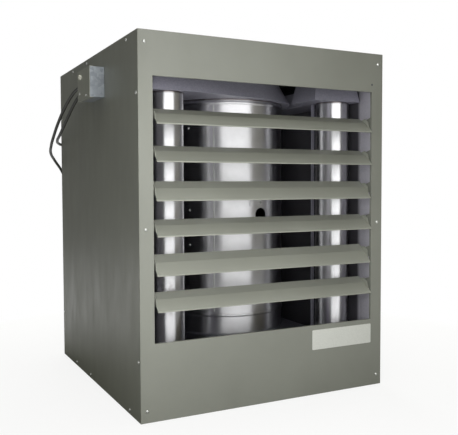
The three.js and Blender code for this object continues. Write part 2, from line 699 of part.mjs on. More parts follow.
function combustionDrum() {
  const inside = DRUM_RADIUS - DRUM_WALL;
  const half = DRUM_KNUCKLE * (1 - Math.SQRT1_2);
  const shell = move(turned([
    [0, DRUM_BOTTOM_Z], [DRUM_RADIUS - DRUM_KNUCKLE, DRUM_BOTTOM_Z],
    [DRUM_RADIUS - half, DRUM_BOTTOM_Z + half], [DRUM_RADIUS, DRUM_BOTTOM_Z + DRUM_KNUCKLE],
    ...bead(DRUM_RADIUS, DRUM_BOTTOM_Z + DRUM_SEAM_RISE),
    ...bead(DRUM_RADIUS, HEADER_Z - DRUM_BEAD_WIDTH),
    [DRUM_RADIUS, HEADER_Z], [inside, HEADER_Z],
    [inside, DRUM_BOTTOM_Z + DRUM_KNUCKLE + DRUM_WALL],
    [inside - DRUM_KNUCKLE, DRUM_BOTTOM_Z + DRUM_WALL], [0, DRUM_BOTTOM_Z + DRUM_WALL],
  ], 'z', 28), DRUM_X, DRUM_Y, 0);
  const burnerHole = bar('y', clearing(SLEEVE_RADIUS, 24), DRUM_Y + DRUM_RADIUS / 2,
    DRUM_Y + 1.2 * DRUM_RADIUS, [DRUM_X, BURNER_Z], 24);
  const sightHole = bar('y', SIGHT_PORT_RADIUS, DRUM_Y - 1.2 * DRUM_RADIUS,
    DRUM_Y - DRUM_RADIUS / 2, [DRUM_X + SIGHT_PORT_SHIFT, HEADER_Z - SIGHT_PORT_BELOW_HEADER], 16);
  const observationHole = bar('y', clearing(OBSERVATION_RADIUS, 16), DRUM_Y + DRUM_RADIUS / 4,
    DRUM_Y + 1.2 * DRUM_RADIUS, [DRUM_X + OBSERVATION_SHIFT, BURNER_Z + OBSERVATION_RISE], 16);
  const skirt = move(pipe('z', DRUM_RADIUS - DRUM_BASE_INSET, DRUM_WALL, TUBE_BOTTOM_Z,
    DRUM_BOTTOM_Z + DRUM_WALL / 2), DRUM_X, DRUM_Y, 0);
  return cut(join(shell, skirt), burnerHole, sightHole, observationHole);
}

// The clear bore of every tube, cut through the header it ends in.
const tubeBores = (places, low, high) => places.map((place) =>
  bar('z', TUBE_RADIUS - TUBE_WALL, low, high, place, 16));

function inset(box, amount) {
  return [box[0] + amount, box[1] + amount, box[2] - amount, box[3] - amount];
}

// The outline of the left header: square over the tubes, then drawn in along two
// tangents to a round end over the drum.
function headerOutline(left, hoodRight, front, rear, radius) {
  const tangentAngle = (dy) => {
    const reach = Math.hypot(hoodRight - DRUM_X, dy);
    return Math.atan2(dy, hoodRight - DRUM_X) - Math.sign(dy) * Math.acos(radius / reach);
  };
  const from = tangentAngle(front - DRUM_Y);
  const to = tangentAngle(rear - DRUM_Y);
  const steps = 20;
  const round = Array.from({ length: steps + 1 }, (_, i) => {
    const angle = from + (to - from) * i / steps;
    return [DRUM_X + radius * Math.cos(angle), DRUM_Y + radius * Math.sin(angle)];
  });
  return [[left, rear], [left, front], [hoodRight, front], ...round, [hoodRight, rear]];
}

// A closed solid between two outlines of as many corners, one above the other.
function loft(low, high, lowZ, highZ) {
  const count = low.length;
  const points = [...low.map(([x, y]) => [x, y, lowZ]), ...high.map(([x, y]) => [x, y, highZ])];
  const flat = THREE.ShapeUtils.triangulateShape(low.map(([x, y]) => new THREE.Vector2(x, y)), []);
  const triangles = flat.flatMap(([a, b, c]) => [c, b, a, a + count, b + count, c + count]);
  for (let i = 0; i < count; i += 1) {
    const next = (i + 1) % count;
    triangles.push(i, next, next + count, i, next + count, i + count);
  }
  const geometry = new THREE.BufferGeometry();
  geometry.setAttribute('position', new THREE.Float32BufferAttribute(points.flat(), 3));
  geometry.setIndex(triangles);
  return geometry;
}

// A sheet metal hood over the left tubes that runs into a cone over the drum.
function topLeftHeader() {
  const left = TUBE_LEFT_X - HEADER_REACH;
  const hoodRight = TUBE_LEFT_X + HEADER_REACH;
  const front = TUBE_FRONT_Y - HEADER_REACH;
  const rear = TUBE_REAR_Y + HEADER_REACH;
  const top = HEADER_SLOPE_RUN / 2;
  const form = (wall) => loft(
    headerOutline(left + wall, hoodRight, front + wall, rear - wall, CONE_RADIUS - wall),
    headerOutline(left + top + wall, hoodRight, front + top + wall, rear - top - wall,
      CONE_RADIUS - CONE_DRAW_IN - wall),
    HEADER_Z + wall, HEADER_Z + HEADER_RISE - wall);
  const mouth = HEADER_Z + 2 * HEADER_WALL;
  return cut(form(0), form(HEADER_WALL),
    ...tubeBores([tubePlaces.front_left, tubePlaces.rear_left], HEADER_Z - 1, mouth),
    bar('z', DRUM_RADIUS - DRUM_BASE_INSET, HEADER_Z - 1, mouth, [DRUM_X, DRUM_Y], 24));
}

// A cap over the front right tube, a low duct back over the rear one, and the
// box that the flue leaves from.
function topRightHeader() {
  const ductLeft = TUBE_RIGHT_X - TUBE_RADIUS;
  const left = TUBE_RIGHT_X - RIGHT_CAP_REACH;
  const right = TUBE_RIGHT_X + HEADER_REACH;
  const front = TUBE_FRONT_Y - HEADER_REACH;
  const besideCone = CONE_RADIUS ** 2 - (left - DRUM_X) ** 2;
  const capRear = DRUM_Y - Math.sqrt(Math.max(0, besideCone)) - HEADER_OVERHANG;
  const capTop = [left + HEADER_SLOPE_RUN / 2, front + HEADER_SLOPE_RUN / 2,
    right - HEADER_OVERHANG, capRear - HEADER_OVERHANG];
  const boxFrame = FLUE_RADIUS + FLUE_BOX_MARGIN;
  const ductTop = HEADER_Z + HEADER_RISE / 2;
  const form = (wall) => join(
    hood(inset([left, front, right, capRear], wall), inset(capTop, wall),
      HEADER_Z + wall, HEADER_Z + HEADER_RISE - wall),
    block([ductLeft + wall, TUBE_FRONT_Y, HEADER_Z + wall],
      [right - wall, FLUE_BOX_FRONT + 2 * HEADER_WALL, ductTop - wall]),
    block([FLUE_X - boxFrame + wall, FLUE_BOX_FRONT + wall, FLUE_Z - boxFrame + wall],
      [right - wall, FLUE_BOX_REAR - wall, FLUE_Z + boxFrame - wall]));
  return cut(form(0), form(HEADER_WALL),
    ...tubeBores([tubePlaces.front_right, tubePlaces.rear_right], HEADER_Z - 1,
      HEADER_Z + 2 * HEADER_WALL),
    bar('y', FLUE_RADIUS - FLUE_WALL, FLUE_BOX_REAR - 2 * HEADER_WALL, FLUE_BOX_REAR + 1,
      [FLUE_X, FLUE_Z], 24));
}

function bottomHeader() {
  const top = [TUBE_LEFT_X - HEADER_REACH, TUBE_FRONT_Y - HEADER_REACH,
    TUBE_RIGHT_X + HEADER_REACH, TUBE_REAR_Y + HEADER_REACH];
  const base = inset(top, HEADER_SLOPE_RUN / 2);
  const form = (wall) => hood(inset(base, wall), inset(top, wall),
    BOTTOM_HEADER_BASE + wall, TUBE_BOTTOM_Z - wall);
  return cut(form(0), form(HEADER_WALL), ...tubeBores(Object.values(tubePlaces),
    TUBE_BOTTOM_Z - 2 * HEADER_WALL, TUBE_BOTTOM_Z + 1));
}

function supportRail() {
  const legEnd = SHEET;
  const crown = BOTTOM_HEADER_BASE - HEADER_WALL / 2;
  const edge = RAIL_WIDTH / 2 - HEADER_WALL / 2;
  const section = foldedSheet([[-edge, legEnd], [-edge, crown], [edge, crown], [edge, legEnd]],
    HEADER_WALL, BEND_RADIUS);
  return asGeometry(asSolid(pushedAlongY(section, TUBE_FRONT_Y - HEADER_REACH,
    TUBE_REAR_Y + HEADER_REACH)));
}

// An upright angle hung between the headers behind the front right tube.
function braceStrip() {
  const face = TUBE_FRONT_Y + TUBE_RADIUS + BRACE_SPACE;
  const edge = TUBE_RIGHT_X - TUBE_RADIUS + BRACE_WIDTH;
  const section = foldedSheet([[edge, face], [edge + BRACE_WIDTH, face],
    [edge + BRACE_WIDTH, face + BRACE_WIDTH]], BRACE_SHEET, BRACE_SHEET);
  return asGeometry(asSolid(pushedAlongZ(section, TUBE_BOTTOM_Z, HEADER_Z)));
}

function flueCollar() {
  const end = REAR_Y + FLUE_STICK_OUT;
  const inside = FLUE_RADIUS - FLUE_WALL;
  const swage = end - FLUE_SWAGE_SETBACK;
  const foot = FLUE_SWAGE_WIDTH / 2;
  return move(turned(ringSection([
    [inside, FLUE_BOX_REAR], [FLUE_RADIUS, FLUE_BOX_REAR], [FLUE_RADIUS, swage - foot],
    [FLUE_RADIUS + FLUE_SWAGE_HEIGHT, swage], [FLUE_RADIUS, swage + foot],
    [FLUE_RADIUS, end], [inside, end],
  ]), 'y', 20), FLUE_X, 0, FLUE_Z);
}

add('combustion_drum', combustionDrum(), polishedSteel());
for (const [place, [x, y]] of Object.entries(tubePlaces)) {
  add(`exchanger_tube_${place}`, pipe('z', TUBE_RADIUS, TUBE_WALL, TUBE_BOTTOM_Z, HEADER_Z, 24),
    polishedSteel()).position.set(x, y, 0);
}
add('header_top_left', topLeftHeader(), aluminisedSteel());
add('header_top_right', topRightHeader(), aluminisedSteel());
add('header_bottom', bottomHeader(), aluminisedSteel());
add('support_rail_left', supportRail(), galvanisedSteel()).position.x = TUBE_LEFT_X;
add('support_rail_right', supportRail(), galvanisedSteel()).position.x = TUBE_RIGHT_X;
add('header_brace', braceStrip(), aluminisedSteel());
add('flue_collar', flueCollar(), aluminisedSteel());

// ---------------------------------------------------------------- fan

function fanShroud() {
  const face = REAR_Y + SHEET;
  const centre = face - BELL_RADIUS;
  const steps = 2;
  const arc = (radius) => Array.from({ length: steps + 1 }, (_, i) => {
    const angle = (1 + i / steps) * Math.PI / 2;
    return [BELL_MOUTH_RADIUS + radius * Math.cos(angle), centre + radius * Math.sin(angle)];
  });
  const rim = BELL_MOUTH_RADIUS + BELL_FLANGE;
  return turned(ringSection([
    [rim, REAR_Y], [rim, face], ...arc(BELL_RADIUS),
    [THROAT_RADIUS, centre - BELL_THROAT_LENGTH],
    [THROAT_RADIUS + SHEET, centre - BELL_THROAT_LENGTH],
    ...arc(BELL_RADIUS - SHEET).reverse(),
  ]), 'y', 24);
}

// Welded wire guard: rings, bent spokes and the plate that carries the motor.
function fanGuard() {
  const wireY = GUARD_PLATE_Y + GUARD_PLATE_SHEET / 2;
  const baseRadius = BELL_MOUTH_RADIUS + BELL_FLANGE / 2;
  const baseY = REAR_Y + SHEET + JOINT_GAP + GUARD_WIRE_RADIUS;
  const ring = (radius, y) => {
    const torus = new THREE.TorusGeometry(radius, GUARD_WIRE_RADIUS, 4, 18);
    torus.rotateX(Math.PI / 2);
    return move(torus, 0, y, 0);
  };
  const shaftHole = 2.2 * FAN_SHAFT_RADIUS;
  const parts = [ring(baseRadius, baseY)];
  for (let i = 1; i <= GUARD_RINGS; i += 1) {
    const share = i / GUARD_RINGS;
    parts.push(ring(GUARD_PLATE_RADIUS + (THROAT_RADIUS - 2 * BELL_RADIUS - GUARD_PLATE_RADIUS) * share,
      wireY));
  }
  for (let i = 0; i < GUARD_SPOKES; i += 1) {
    const turn = 2 * Math.PI * (i + 0.5) / GUARD_SPOKES;
    const place = (radius, y) => [radius * Math.cos(turn), y, radius * Math.sin(turn)];
    parts.push(rodAlong([
      place(GUARD_PLATE_RADIUS - 4 * GUARD_WIRE_RADIUS, wireY),
      place(THROAT_RADIUS / 2, wireY),
      place(THROAT_RADIUS - BELL_RADIUS, wireY),
      place(THROAT_RADIUS + BELL_RADIUS / 2, (wireY + baseY) / 2 + 2 * GUARD_WIRE_RADIUS),
      place(baseRadius, baseY),
    ], GUARD_WIRE_RADIUS, 4, 4));
  }
  parts.push(turned(ringSection([
    [shaftHole, GUARD_PLATE_Y], [GUARD_PLATE_RADIUS, GUARD_PLATE_Y],
    [GUARD_PLATE_RADIUS, MOTOR_FRONT_Y], [shaftHole, MOTOR_FRONT_Y],
  ]), 'y', 20));
  return join(...parts);
}

const MOTOR_SIDES = 16;
const MOTOR_BORE_DEPTH = 0.42 * MOTOR_LENGTH;

// An end-bell electric motor with a blind bore for its shaft, along +axis.
function motorBody(axis, radius, start, length, bore, boreDepth) {
  const direction = Math.sign(length);
  const at = (distance) => start + direction * distance;
  const total = Math.abs(length);
  return turned([
    [0, at(boreDepth)], [bore, at(boreDepth)], [bore, at(0)], [0.5 * radius, at(0)],
    [0.52 * radius, at(0.04 * total)], [0.9 * radius, at(0.07 * total)],
    [radius, at(0.16 * total)], [radius, at(0.82 * total)],
    [0.88 * radius, at(0.94 * total)], [0.5 * radius, at(total)], [0, at(total)],
  ], axis, MOTOR_SIDES);
}

// One propeller blade: swept, twisted and cambered pressed sheet.
function propellerBlade() {
  const spanSteps = 3;
  const chordSteps = 4;
  const root = FAN_HUB_RADIUS - FAN_HUB_CHAMFER;
  const pitchShare = 0.8;
  const surface = (side) => {
    const points = [];
    for (let i = 0; i <= spanSteps; i += 1) {
      const u = i / spanSteps;
      for (let j = 0; j <= chordSteps; j += 1) {
        const v = 2 * j / chordSteps - 1;
        const radius = root + (FAN_RADIUS - FAN_TIP_ROUND * v * v - root) * u;
        const halfChord = FAN_ROOT_CHORD / 2 + FAN_CHORD_GROWTH / 2 * Math.sin(u * Math.PI / 2);
        const pitch = degrees(FAN_BLADE_PITCH + FAN_BLADE_TWIST * (1 - u));
        const angle = degrees(FAN_BLADE_SWEEP) * u
          + v * halfChord / Math.max(radius, 2 * FAN_HUB_RADIUS);
        const rise = v * halfChord * Math.tan(pitch) * pitchShare
          + FAN_BLADE_CAMBER * u * (1 - v * v);
        points.push([radius * Math.cos(angle), rise + side * FAN_BLADE_SHEET / 2,
          radius * Math.sin(angle)]);
      }
    }
    return points;
  };
  const row = chordSteps + 1;
  const under = surface(-1);
  const points = [...under, ...surface(1)];
  const offset = under.length;
  const triangles = [];
  const quad = (a, b, c, d) => triangles.push(a, b, c, a, c, d);
  for (let i = 0; i < spanSteps; i += 1) {
    for (let j = 0; j < chordSteps; j += 1) {
      const a = i * row + j;
      quad(a, a + row, a + row + 1, a + 1);
      quad(a + offset, a + 1 + offset, a + row + 1 + offset, a + row + offset);
    }
    const lead = i * row;
    const trail = lead + chordSteps;
    quad(lead, lead + offset, lead + row + offset, lead + row);
    quad(trail, trail + row, trail + row + offset, trail + offset);
  }
  for (let j = 0; j < chordSteps; j += 1) {
    const tip = spanSteps * row + j;
    quad(j, j + 1, j + 1 + offset, j + offset);
    quad(tip, tip + offset, tip + 1 + offset, tip + 1);
  }
  const geometry = new THREE.BufferGeometry();
  geometry.setAttribute('position', new THREE.Float32BufferAttribute(points.flat(), 3));
  geometry.setIndex(triangles);
  return asGeometry(outward(asSolid(geometry), geometry));
}

function propeller() {
  const half = FAN_HUB_LENGTH / 2;
  const bore = FAN_SHAFT_RADIUS + JOINT_GAP;
  const hub = turned(ringSection([
    [bore, -half], [FAN_HUB_RADIUS - FAN_HUB_CHAMFER, -half],
    [FAN_HUB_RADIUS, -half + FAN_HUB_CHAMFER], [FAN_HUB_RADIUS, half - FAN_HUB_CHAMFER],
    [FAN_HUB_RADIUS - FAN_HUB_CHAMFER, half], [bore, half],
  ]), 'y', 16);
  const blades = Array.from({ length: FAN_BLADES }, (_, i) =>
    propellerBlade().rotateY(2 * Math.PI * i / FAN_BLADES));
  return cut(join(hub, ...blades), bar('y', bore, -2 * half, 2 * half, [0, 0], 16));
}

const fanAxis = new THREE.Group();
fanAxis.position.set(FAN_OFFSET_X, 0, FAN_HEIGHT);
group.add(fanAxis);
add('fan_shroud', fanShroud(), galvanisedSteel(), fanAxis);
add('fan_guard', fanGuard(), blackEnamel(), fanAxis);
add('fan_motor', motorBody('y', MOTOR_RADIUS, MOTOR_FRONT_Y, MOTOR_LENGTH,
  FAN_SHAFT_RADIUS + JOINT_GAP, MOTOR_BORE_DEPTH), motorPaint(), fanAxis);
add('fan_shaft', bar('y', FAN_SHAFT_RADIUS, FAN_Y - FAN_HUB_LENGTH / 2 - FAN_SHAFT_RADIUS,
  MOTOR_FRONT_Y + MOTOR_BORE_DEPTH - 1, [0, 0], 16), castAluminium(), fanAxis);
const rotor = add('fan_propeller', propeller(), castAluminium(), fanAxis);
rotor.position.y = FAN_Y;
rotor.rotation.y = Math.PI / FAN_BLADES;

const TERMINAL_SIZE = [34, 52, 46];
const TERMINAL_Y = MOTOR_FRONT_Y + 0.45 * MOTOR_LENGTH;

// The terminal box is scribed to the round of the motor and has a cable boss.
function motorTerminalBox() {
  const [depth, length, height] = TERMINAL_SIZE;
  const outer = -MOTOR_RADIUS - depth;
  const body = pushedAlongX(roundedRectangle(TERMINAL_Y - length / 2, -height / 2,
    TERMINAL_Y + length / 2, height / 2, 4, 2), outer, -MOTOR_RADIUS / 2);
  const boss = bar('x', 1.6 * CABLE_RADIUS, outer - GLAND_LENGTH / 2, outer + 1, [TERMINAL_Y, 0], 12);
  return cut(join(body, boss), bar('y', MOTOR_RADIUS + JOINT_GAP, TERMINAL_Y - length,
    TERMINAL_Y + length, [0, 0], MOTOR_SIDES));
}

add('motor_terminal_box', motorTerminalBox(), motorPaint(), fanAxis);

// ---------------------------------------------------------------- burner

const burner = new THREE.Group();
burner.position.set(DRUM_X, REAR_Y, BURNER_Z);
group.add(burner);

function inletSleeve() {
  const inner = SLEEVE_RADIUS - SLEEVE_WALL;
  const drumWall = DRUM_Y + Math.sqrt(DRUM_RADIUS ** 2 - SLEEVE_RADIUS ** 2) - REAR_Y;
  const tip = Math.min(drumWall, AIR_TUBE_END) - SLEEVE_INSIDE_DRUM;
  const flange = SLEEVE_RADIUS + SLEEVE_FLANGE;
  return turned(ringSection([
    [inner, tip], [SLEEVE_RADIUS, tip], [SLEEVE_RADIUS, 0], [flange, 0], [flange, SLEEVE_WALL],
    [SLEEVE_RADIUS, SLEEVE_WALL], [SLEEVE_RADIUS, SLEEVE_STICK_OUT], [inner, SLEEVE_STICK_OUT],
  ]), 'y', 20);
}

function burnerFlange() {
  const half = BURNER_FLANGE_SIZE / 2;
  const plate = roundedRectangle(-half, -half, half, half, BURNER_FLANGE_CORNER);
  roundHole(plate, 0, 0, clearing(AIR_TUBE_RADIUS, 24), 24);
  return asGeometry(asSolid(pushedAlongY(plate, SLEEVE_STICK_OUT,
    SLEEVE_STICK_OUT + BURNER_FLANGE_SHEET)));
}

// The snail outline: flat on top, its radius growing from the top round the
// rear and the underside to the outlet.
function scrollOutline(wall) {
  const steps = 14;
  const sweep = degrees(238);
  const front = HOUSING_FRONT + wall;
  const points = [new THREE.Vector2(front, HOUSING_TOP - wall)];
  for (let i = 0; i <= steps; i += 1) {
    const share = i / steps;
    const radius = SCROLL_RADIUS_START + (SCROLL_RADIUS_END - SCROLL_RADIUS_START) * share - wall;
    const angle = Math.PI / 2 - sweep * share;
    points.push(new THREE.Vector2(SCROLL_Y + radius * Math.cos(angle),
      SCROLL_Z + radius * Math.sin(angle)));
  }
  points.push(new THREE.Vector2(front, points[points.length - 1].y + wall));
  return new THREE.Shape(points);
}

const TRANSFORMER_REAR = HOUSING_FRONT + TRANSFORMER_SIZE[1];
const CONTROL_FRONT = TRANSFORMER_REAR + CONTROL_SPACE;
const CONTROL_REAR = CONTROL_FRONT + CONTROL_SIZE[1];
const CONTROL_MIDDLE = (CONTROL_FRONT + CONTROL_REAR) / 2;
const PLATFORM_TOP = HOUSING_TOP + PLATFORM_SHEET;
const HALF_HOUSING = HOUSING_WIDTH / 2;

function burnerHousing() {
  const shell = pushedAlongX(scrollOutline(0), -HALF_HOUSING, HALF_HOUSING);
  const platform = block([-HALF_HOUSING, HOUSING_FRONT, HOUSING_TOP - PLATFORM_SHEET],
    [HALF_HOUSING, CONTROL_REAR, PLATFORM_TOP]);
  const inside = pushedAlongX(scrollOutline(HOUSING_WALL), -HALF_HOUSING + HOUSING_WALL,
    HALF_HOUSING - HOUSING_WALL);
  const outlet = bar('y', AIR_TUBE_RADIUS - AIR_TUBE_WALL, HOUSING_FRONT - 1,
    HOUSING_FRONT + 4 * HOUSING_WALL, [0, 0], 24);
  const inlet = bar('x', INLET_RADIUS, 0, HALF_HOUSING + 1, [SCROLL_Y, SCROLL_Z], 24);
  const shaftHole = bar('x', 2 * BURNER_SHAFT_RADIUS, -HALF_HOUSING - 1, 0, [SCROLL_Y, SCROLL_Z], 12);
  return cut(join(shell, platform), inside, outlet, inlet, shaftHole);
}

// Flame head on the end of the air tube: a slotted ring, three arms and the oil
// pipe with its nozzle, which the arms hold on the axis.
function flameHead() {
  const mouth = AIR_TUBE_END;
  const ring = turned(ringSection([
    [0.62 * AIR_TUBE_RADIUS, mouth - 2], [0.7 * AIR_TUBE_RADIUS, mouth - 6],
    [AIR_TUBE_RADIUS, mouth - 6], [AIR_TUBE_RADIUS, mouth], [0.7 * AIR_TUBE_RADIUS, mouth],
    [0.62 * AIR_TUBE_RADIUS, mouth + 4],
  ]), 'y', 18);
  const pipeRadius = 5;
  const oilPipe = turned([
    [0, mouth + 2], [3, mouth + 2], [8, mouth + 6], [8, mouth + 26], [pipeRadius, mouth + 30],
    [pipeRadius, HOUSING_FRONT - 12], [0, HOUSING_FRONT - 12],
  ], 'y', 12);
  const arms = Array.from({ length: 3 }, (_, i) =>
    block([-1.5, mouth - 5, 5], [1.5, mouth + 20, 0.8 * AIR_TUBE_RADIUS])
      .rotateY(2 * Math.PI * i / 3));
  return join(ring, oilPipe, ...arms);
}

// Forward curved blower wheel on its shaft, which also drives the oil pump.
function blowerWheel() {
  const half = WHEEL_WIDTH / 2;
  const inner = WHEEL_RADIUS - WHEEL_BLADE_DEPTH;
  const disc = turned([
    [0, -half], [WHEEL_RADIUS, -half], [WHEEL_RADIUS, -half + WHEEL_SHEET],
    [3 * BURNER_SHAFT_RADIUS, -half + WHEEL_SHEET],
    [2.6 * BURNER_SHAFT_RADIUS, -half + WHEEL_HUB_LENGTH], [0, -half + WHEEL_HUB_LENGTH],
  ], 'x', 18);
  const rim = turned(ringSection([
    [inner, half - WHEEL_RIM_WIDTH], [WHEEL_RADIUS, half - WHEEL_RIM_WIDTH],
    [WHEEL_RADIUS, half], [inner, half],
  ]), 'x', 18);
  const section = foldedSheet([[inner + 1, 0], [WHEEL_RADIUS - WHEEL_SHEET, WHEEL_BLADE_LEAN]],
    WHEEL_SHEET / 2, 0);
  const blades = Array.from({ length: WHEEL_BLADES }, (_, i) =>
    pushedAlongX(section, -half + 1, half - 1).rotateX(2 * Math.PI * i / WHEEL_BLADES));
  const shaft = bar('x', BURNER_SHAFT_RADIUS, -HALF_HOUSING - BURNER_SHAFT_MOTOR_END,
    HALF_HOUSING + INLET_PLATE_SHEET + BURNER_SHAFT_PUMP_END, [0, 0], 12);
  return join(disc, rim, ...blades, shaft);
}

// Slots between two radii, evenly spaced, left open by the plate and its shutter.
function slottedDisc(outer, centreHole, start, sheet, tab) {
  const points = Array.from({ length: 32 }, (_, i) => {
    const angle = 2 * Math.PI * i / 32;
    const radius = tab && i >= 7 && i <= 8 ? outer + tab : outer;
    return new THREE.Vector2(SCROLL_Y + radius * Math.cos(angle), SCROLL_Z + radius * Math.sin(angle));
  });
  const disc = new THREE.Shape(points);
  roundHole(disc, SCROLL_Y, SCROLL_Z, clearing(centreHole, 16), 16);
  const slotAngle = Math.PI / SHUTTER_SLOTS;
  for (let i = 0; i < SHUTTER_SLOTS; i += 1) {
    const from = 2 * i * slotAngle + 0.1;
    const corners = [];
    for (const [radius, order] of [[INLET_RADIUS - 5, 1], [PUMP_RADIUS + 3, -1]]) {
      for (let s = 0; s <= 3; s += 1) {
        const angle = from + (slotAngle - 0.2) * (order > 0 ? s : 3 - s) / 3;
        corners.push(new THREE.Vector2(SCROLL_Y + radius * Math.cos(angle),
          SCROLL_Z + radius * Math.sin(angle)));
      }
    }
    disc.holes.push(new THREE.Path(corners));
  }
  return asGeometry(asSolid(pushedAlongX(disc, start, start + sheet)));
}

const PUMP_BOSS_RADIUS = PUMP_RADIUS - 3;
const PUMP_START = HALF_HOUSING + INLET_PLATE_SHEET;
const PUMP_SHOULDER = PUMP_START + JOINT_GAP + SHUTTER_SHEET + JOINT_GAP;

function oilPump() {
  const end = PUMP_START + PUMP_LENGTH;
  const bore = BURNER_SHAFT_RADIUS + JOINT_GAP;
  const boreEnd = PUMP_START + BURNER_SHAFT_PUMP_END + 2;
  const cover = PUMP_RADIUS - PUMP_COVER_STEP;
  const body = turned([
    [0, boreEnd], [bore, boreEnd], [bore, PUMP_START],
    [PUMP_BOSS_RADIUS, PUMP_START], [PUMP_BOSS_RADIUS, PUMP_SHOULDER],
    [PUMP_RADIUS, PUMP_SHOULDER], [PUMP_RADIUS, end - PUMP_COVER_LENGTH - PUMP_COVER_STEP],
    [cover, end - PUMP_COVER_LENGTH], [cover, end], [0, end],
  ], 'x', 18);
  const port = bar('z', PUMP_PORT_RADIUS, PUMP_RADIUS / 2, PUMP_RADIUS + PUMP_PORT_RISE,
    [PUMP_START + PUMP_LENGTH / 2, 0], 6);
  return move(join(body, port), 0, SCROLL_Y, SCROLL_Z);
}

function oilLine() {
  const rise = SCROLL_Z + PUMP_RADIUS + PUMP_PORT_RISE + JOINT_GAP;
  const x = PUMP_START + PUMP_LENGTH / 2;
  const end = [HALF_HOUSING + JOINT_GAP, HOUSING_FRONT + 20, PUMP_RADIUS + 8];
  return asGeometry(asSolid(rodAlong([
    [x, SCROLL_Y, rise], [x, SCROLL_Y, rise + 12], [x - 2, SCROLL_Y - 14, rise + 24],
    [x - 4, SCROLL_Y - 42, rise + 22], [x - 8, end[1] + 12, end[2] + 8],
    [end[0] + 14, end[1] + 1, end[2]], end,
  ], OIL_LINE_RADIUS, 6, 16)));
}

const RESET_Z = PLATFORM_TOP + CONTROL_SIZE[2] * 0.62;

// A sheet metal case with a slightly larger lid.
function ignitionTransformer() {
  const half = TRANSFORMER_SIZE[0] / 2;
  const top = PLATFORM_TOP + TRANSFORMER_SIZE[2];
  const body = pushedAlongZ(roundedRectangle(-half + 2, HOUSING_FRONT + 2, half - 2,
    TRANSFORMER_REAR - 2, 6, 3), PLATFORM_TOP, top - TRANSFORMER_LID_DEPTH / 2);
  const lid = pushedAlongZ(roundedRectangle(-half, HOUSING_FRONT, half, TRANSFORMER_REAR, 7, 3),
    top - TRANSFORMER_LID_DEPTH, top);
  return join(body, lid);
}

function primaryControl() {
  const half = CONTROL_SIZE[0] / 2;
  const top = PLATFORM_TOP + CONTROL_SIZE[2];
  const body = pushedAlongZ(roundedRectangle(-half, CONTROL_FRONT, half, CONTROL_REAR, 5, 3),
    PLATFORM_TOP, top - CONTROL_CROWN);
  const crown = hood([-half, CONTROL_FRONT, half, CONTROL_REAR],
    [-half + CONTROL_CROWN, CONTROL_FRONT + CONTROL_CROWN, half - CONTROL_CROWN,
      CONTROL_REAR - CONTROL_CROWN], top - CONTROL_CROWN - 1, top);
  const boss = bar('x', 1.6 * CABLE_RADIUS, -half - GLAND_LENGTH / 2, -half + 1,
    [CONTROL_MIDDLE, PLATFORM_TOP + CONTROL_SIZE[2] / 2], 12);
  const well = bar('y', clearing(RESET_BUTTON_RADIUS, 16), CONTROL_REAR - RESET_BUTTON_INSIDE - 4,
    CONTROL_REAR + 1, [0, RESET_Z], 16);
  return cut(join(body, crown, boss), well);
}

function resetButton() {
  return move(turned([
    [0, CONTROL_REAR - RESET_BUTTON_INSIDE],
    [RESET_BUTTON_RADIUS, CONTROL_REAR - RESET_BUTTON_INSIDE],
    [RESET_BUTTON_RADIUS, CONTROL_REAR + RESET_BUTTON_PROUD - 1.5],
    [RESET_BUTTON_RADIUS - 2, CONTROL_REAR + RESET_BUTTON_PROUD],
    [0, CONTROL_REAR + RESET_BUTTON_PROUD],
  ], 'y', 16), 0, 0, RESET_Z);
}

add('burner_inlet_sleeve', inletSleeve(), aluminisedSteel(), burner);
add('burner_flange', burnerFlange(), burnerPaint(), burner);
add('burner_air_tube', pipe('y', AIR_TUBE_RADIUS, AIR_TUBE_WALL, AIR_TUBE_END, HOUSING_FRONT),
  aluminisedSteel(), burner);
add('flame_head', flameHead(), castAluminium(), burner);
add('burner_housing', burnerHousing(), burnerPaint(), burner);
add('burner_blower_wheel', blowerWheel(), galvanisedSteel(), burner)
  .position.set(0, SCROLL_Y, SCROLL_Z);
add('burner_motor', motorBody('x', BURNER_MOTOR_RADIUS, -HALF_HOUSING, -BURNER_MOTOR_LENGTH,
  BURNER_SHAFT_RADIUS + JOINT_GAP, BURNER_MOTOR_BORE_DEPTH), motorPaint(), burner)
  .position.set(0, SCROLL_Y, SCROLL_Z);
add('air_inlet_plate', slottedDisc(INLET_PLATE_RADIUS, BURNER_SHAFT_RADIUS, HALF_HOUSING,
  INLET_PLATE_SHEET, 0), burnerPaint(), burner);
add('air_shutter', slottedDisc(SHUTTER_RADIUS, PUMP_BOSS_RADIUS,
  PUMP_START + JOINT_GAP, SHUTTER_SHEET, SHUTTER_TAB), galvanisedSteel(), burner);
add('oil_pump', oilPump(), castAluminium(), burner);
add('oil_line', oilLine(), copper(), burner);
add('ignition_transformer', ignitionTransformer(), burnerPaint(), burner);
add('primary_control', primaryControl(), blackEnamel(), burner);
add('reset_button', resetButton(), redPlastic(), burner);

// ---------------------------------------------------------------- observation port

const coverStart = OBSERVATION_RIM + JOINT_GAP;
const coverEnd = coverStart + OBSERVATION_COVER_SHEET;
const coverRadius = OBSERVATION_RADIUS + OBSERVATION_COVER_LAP;
const coverPivotZ = coverRadius + OBSERVATION_COVER_LAP;
const studRadius = OBSERVATION_STUD_RADIUS;

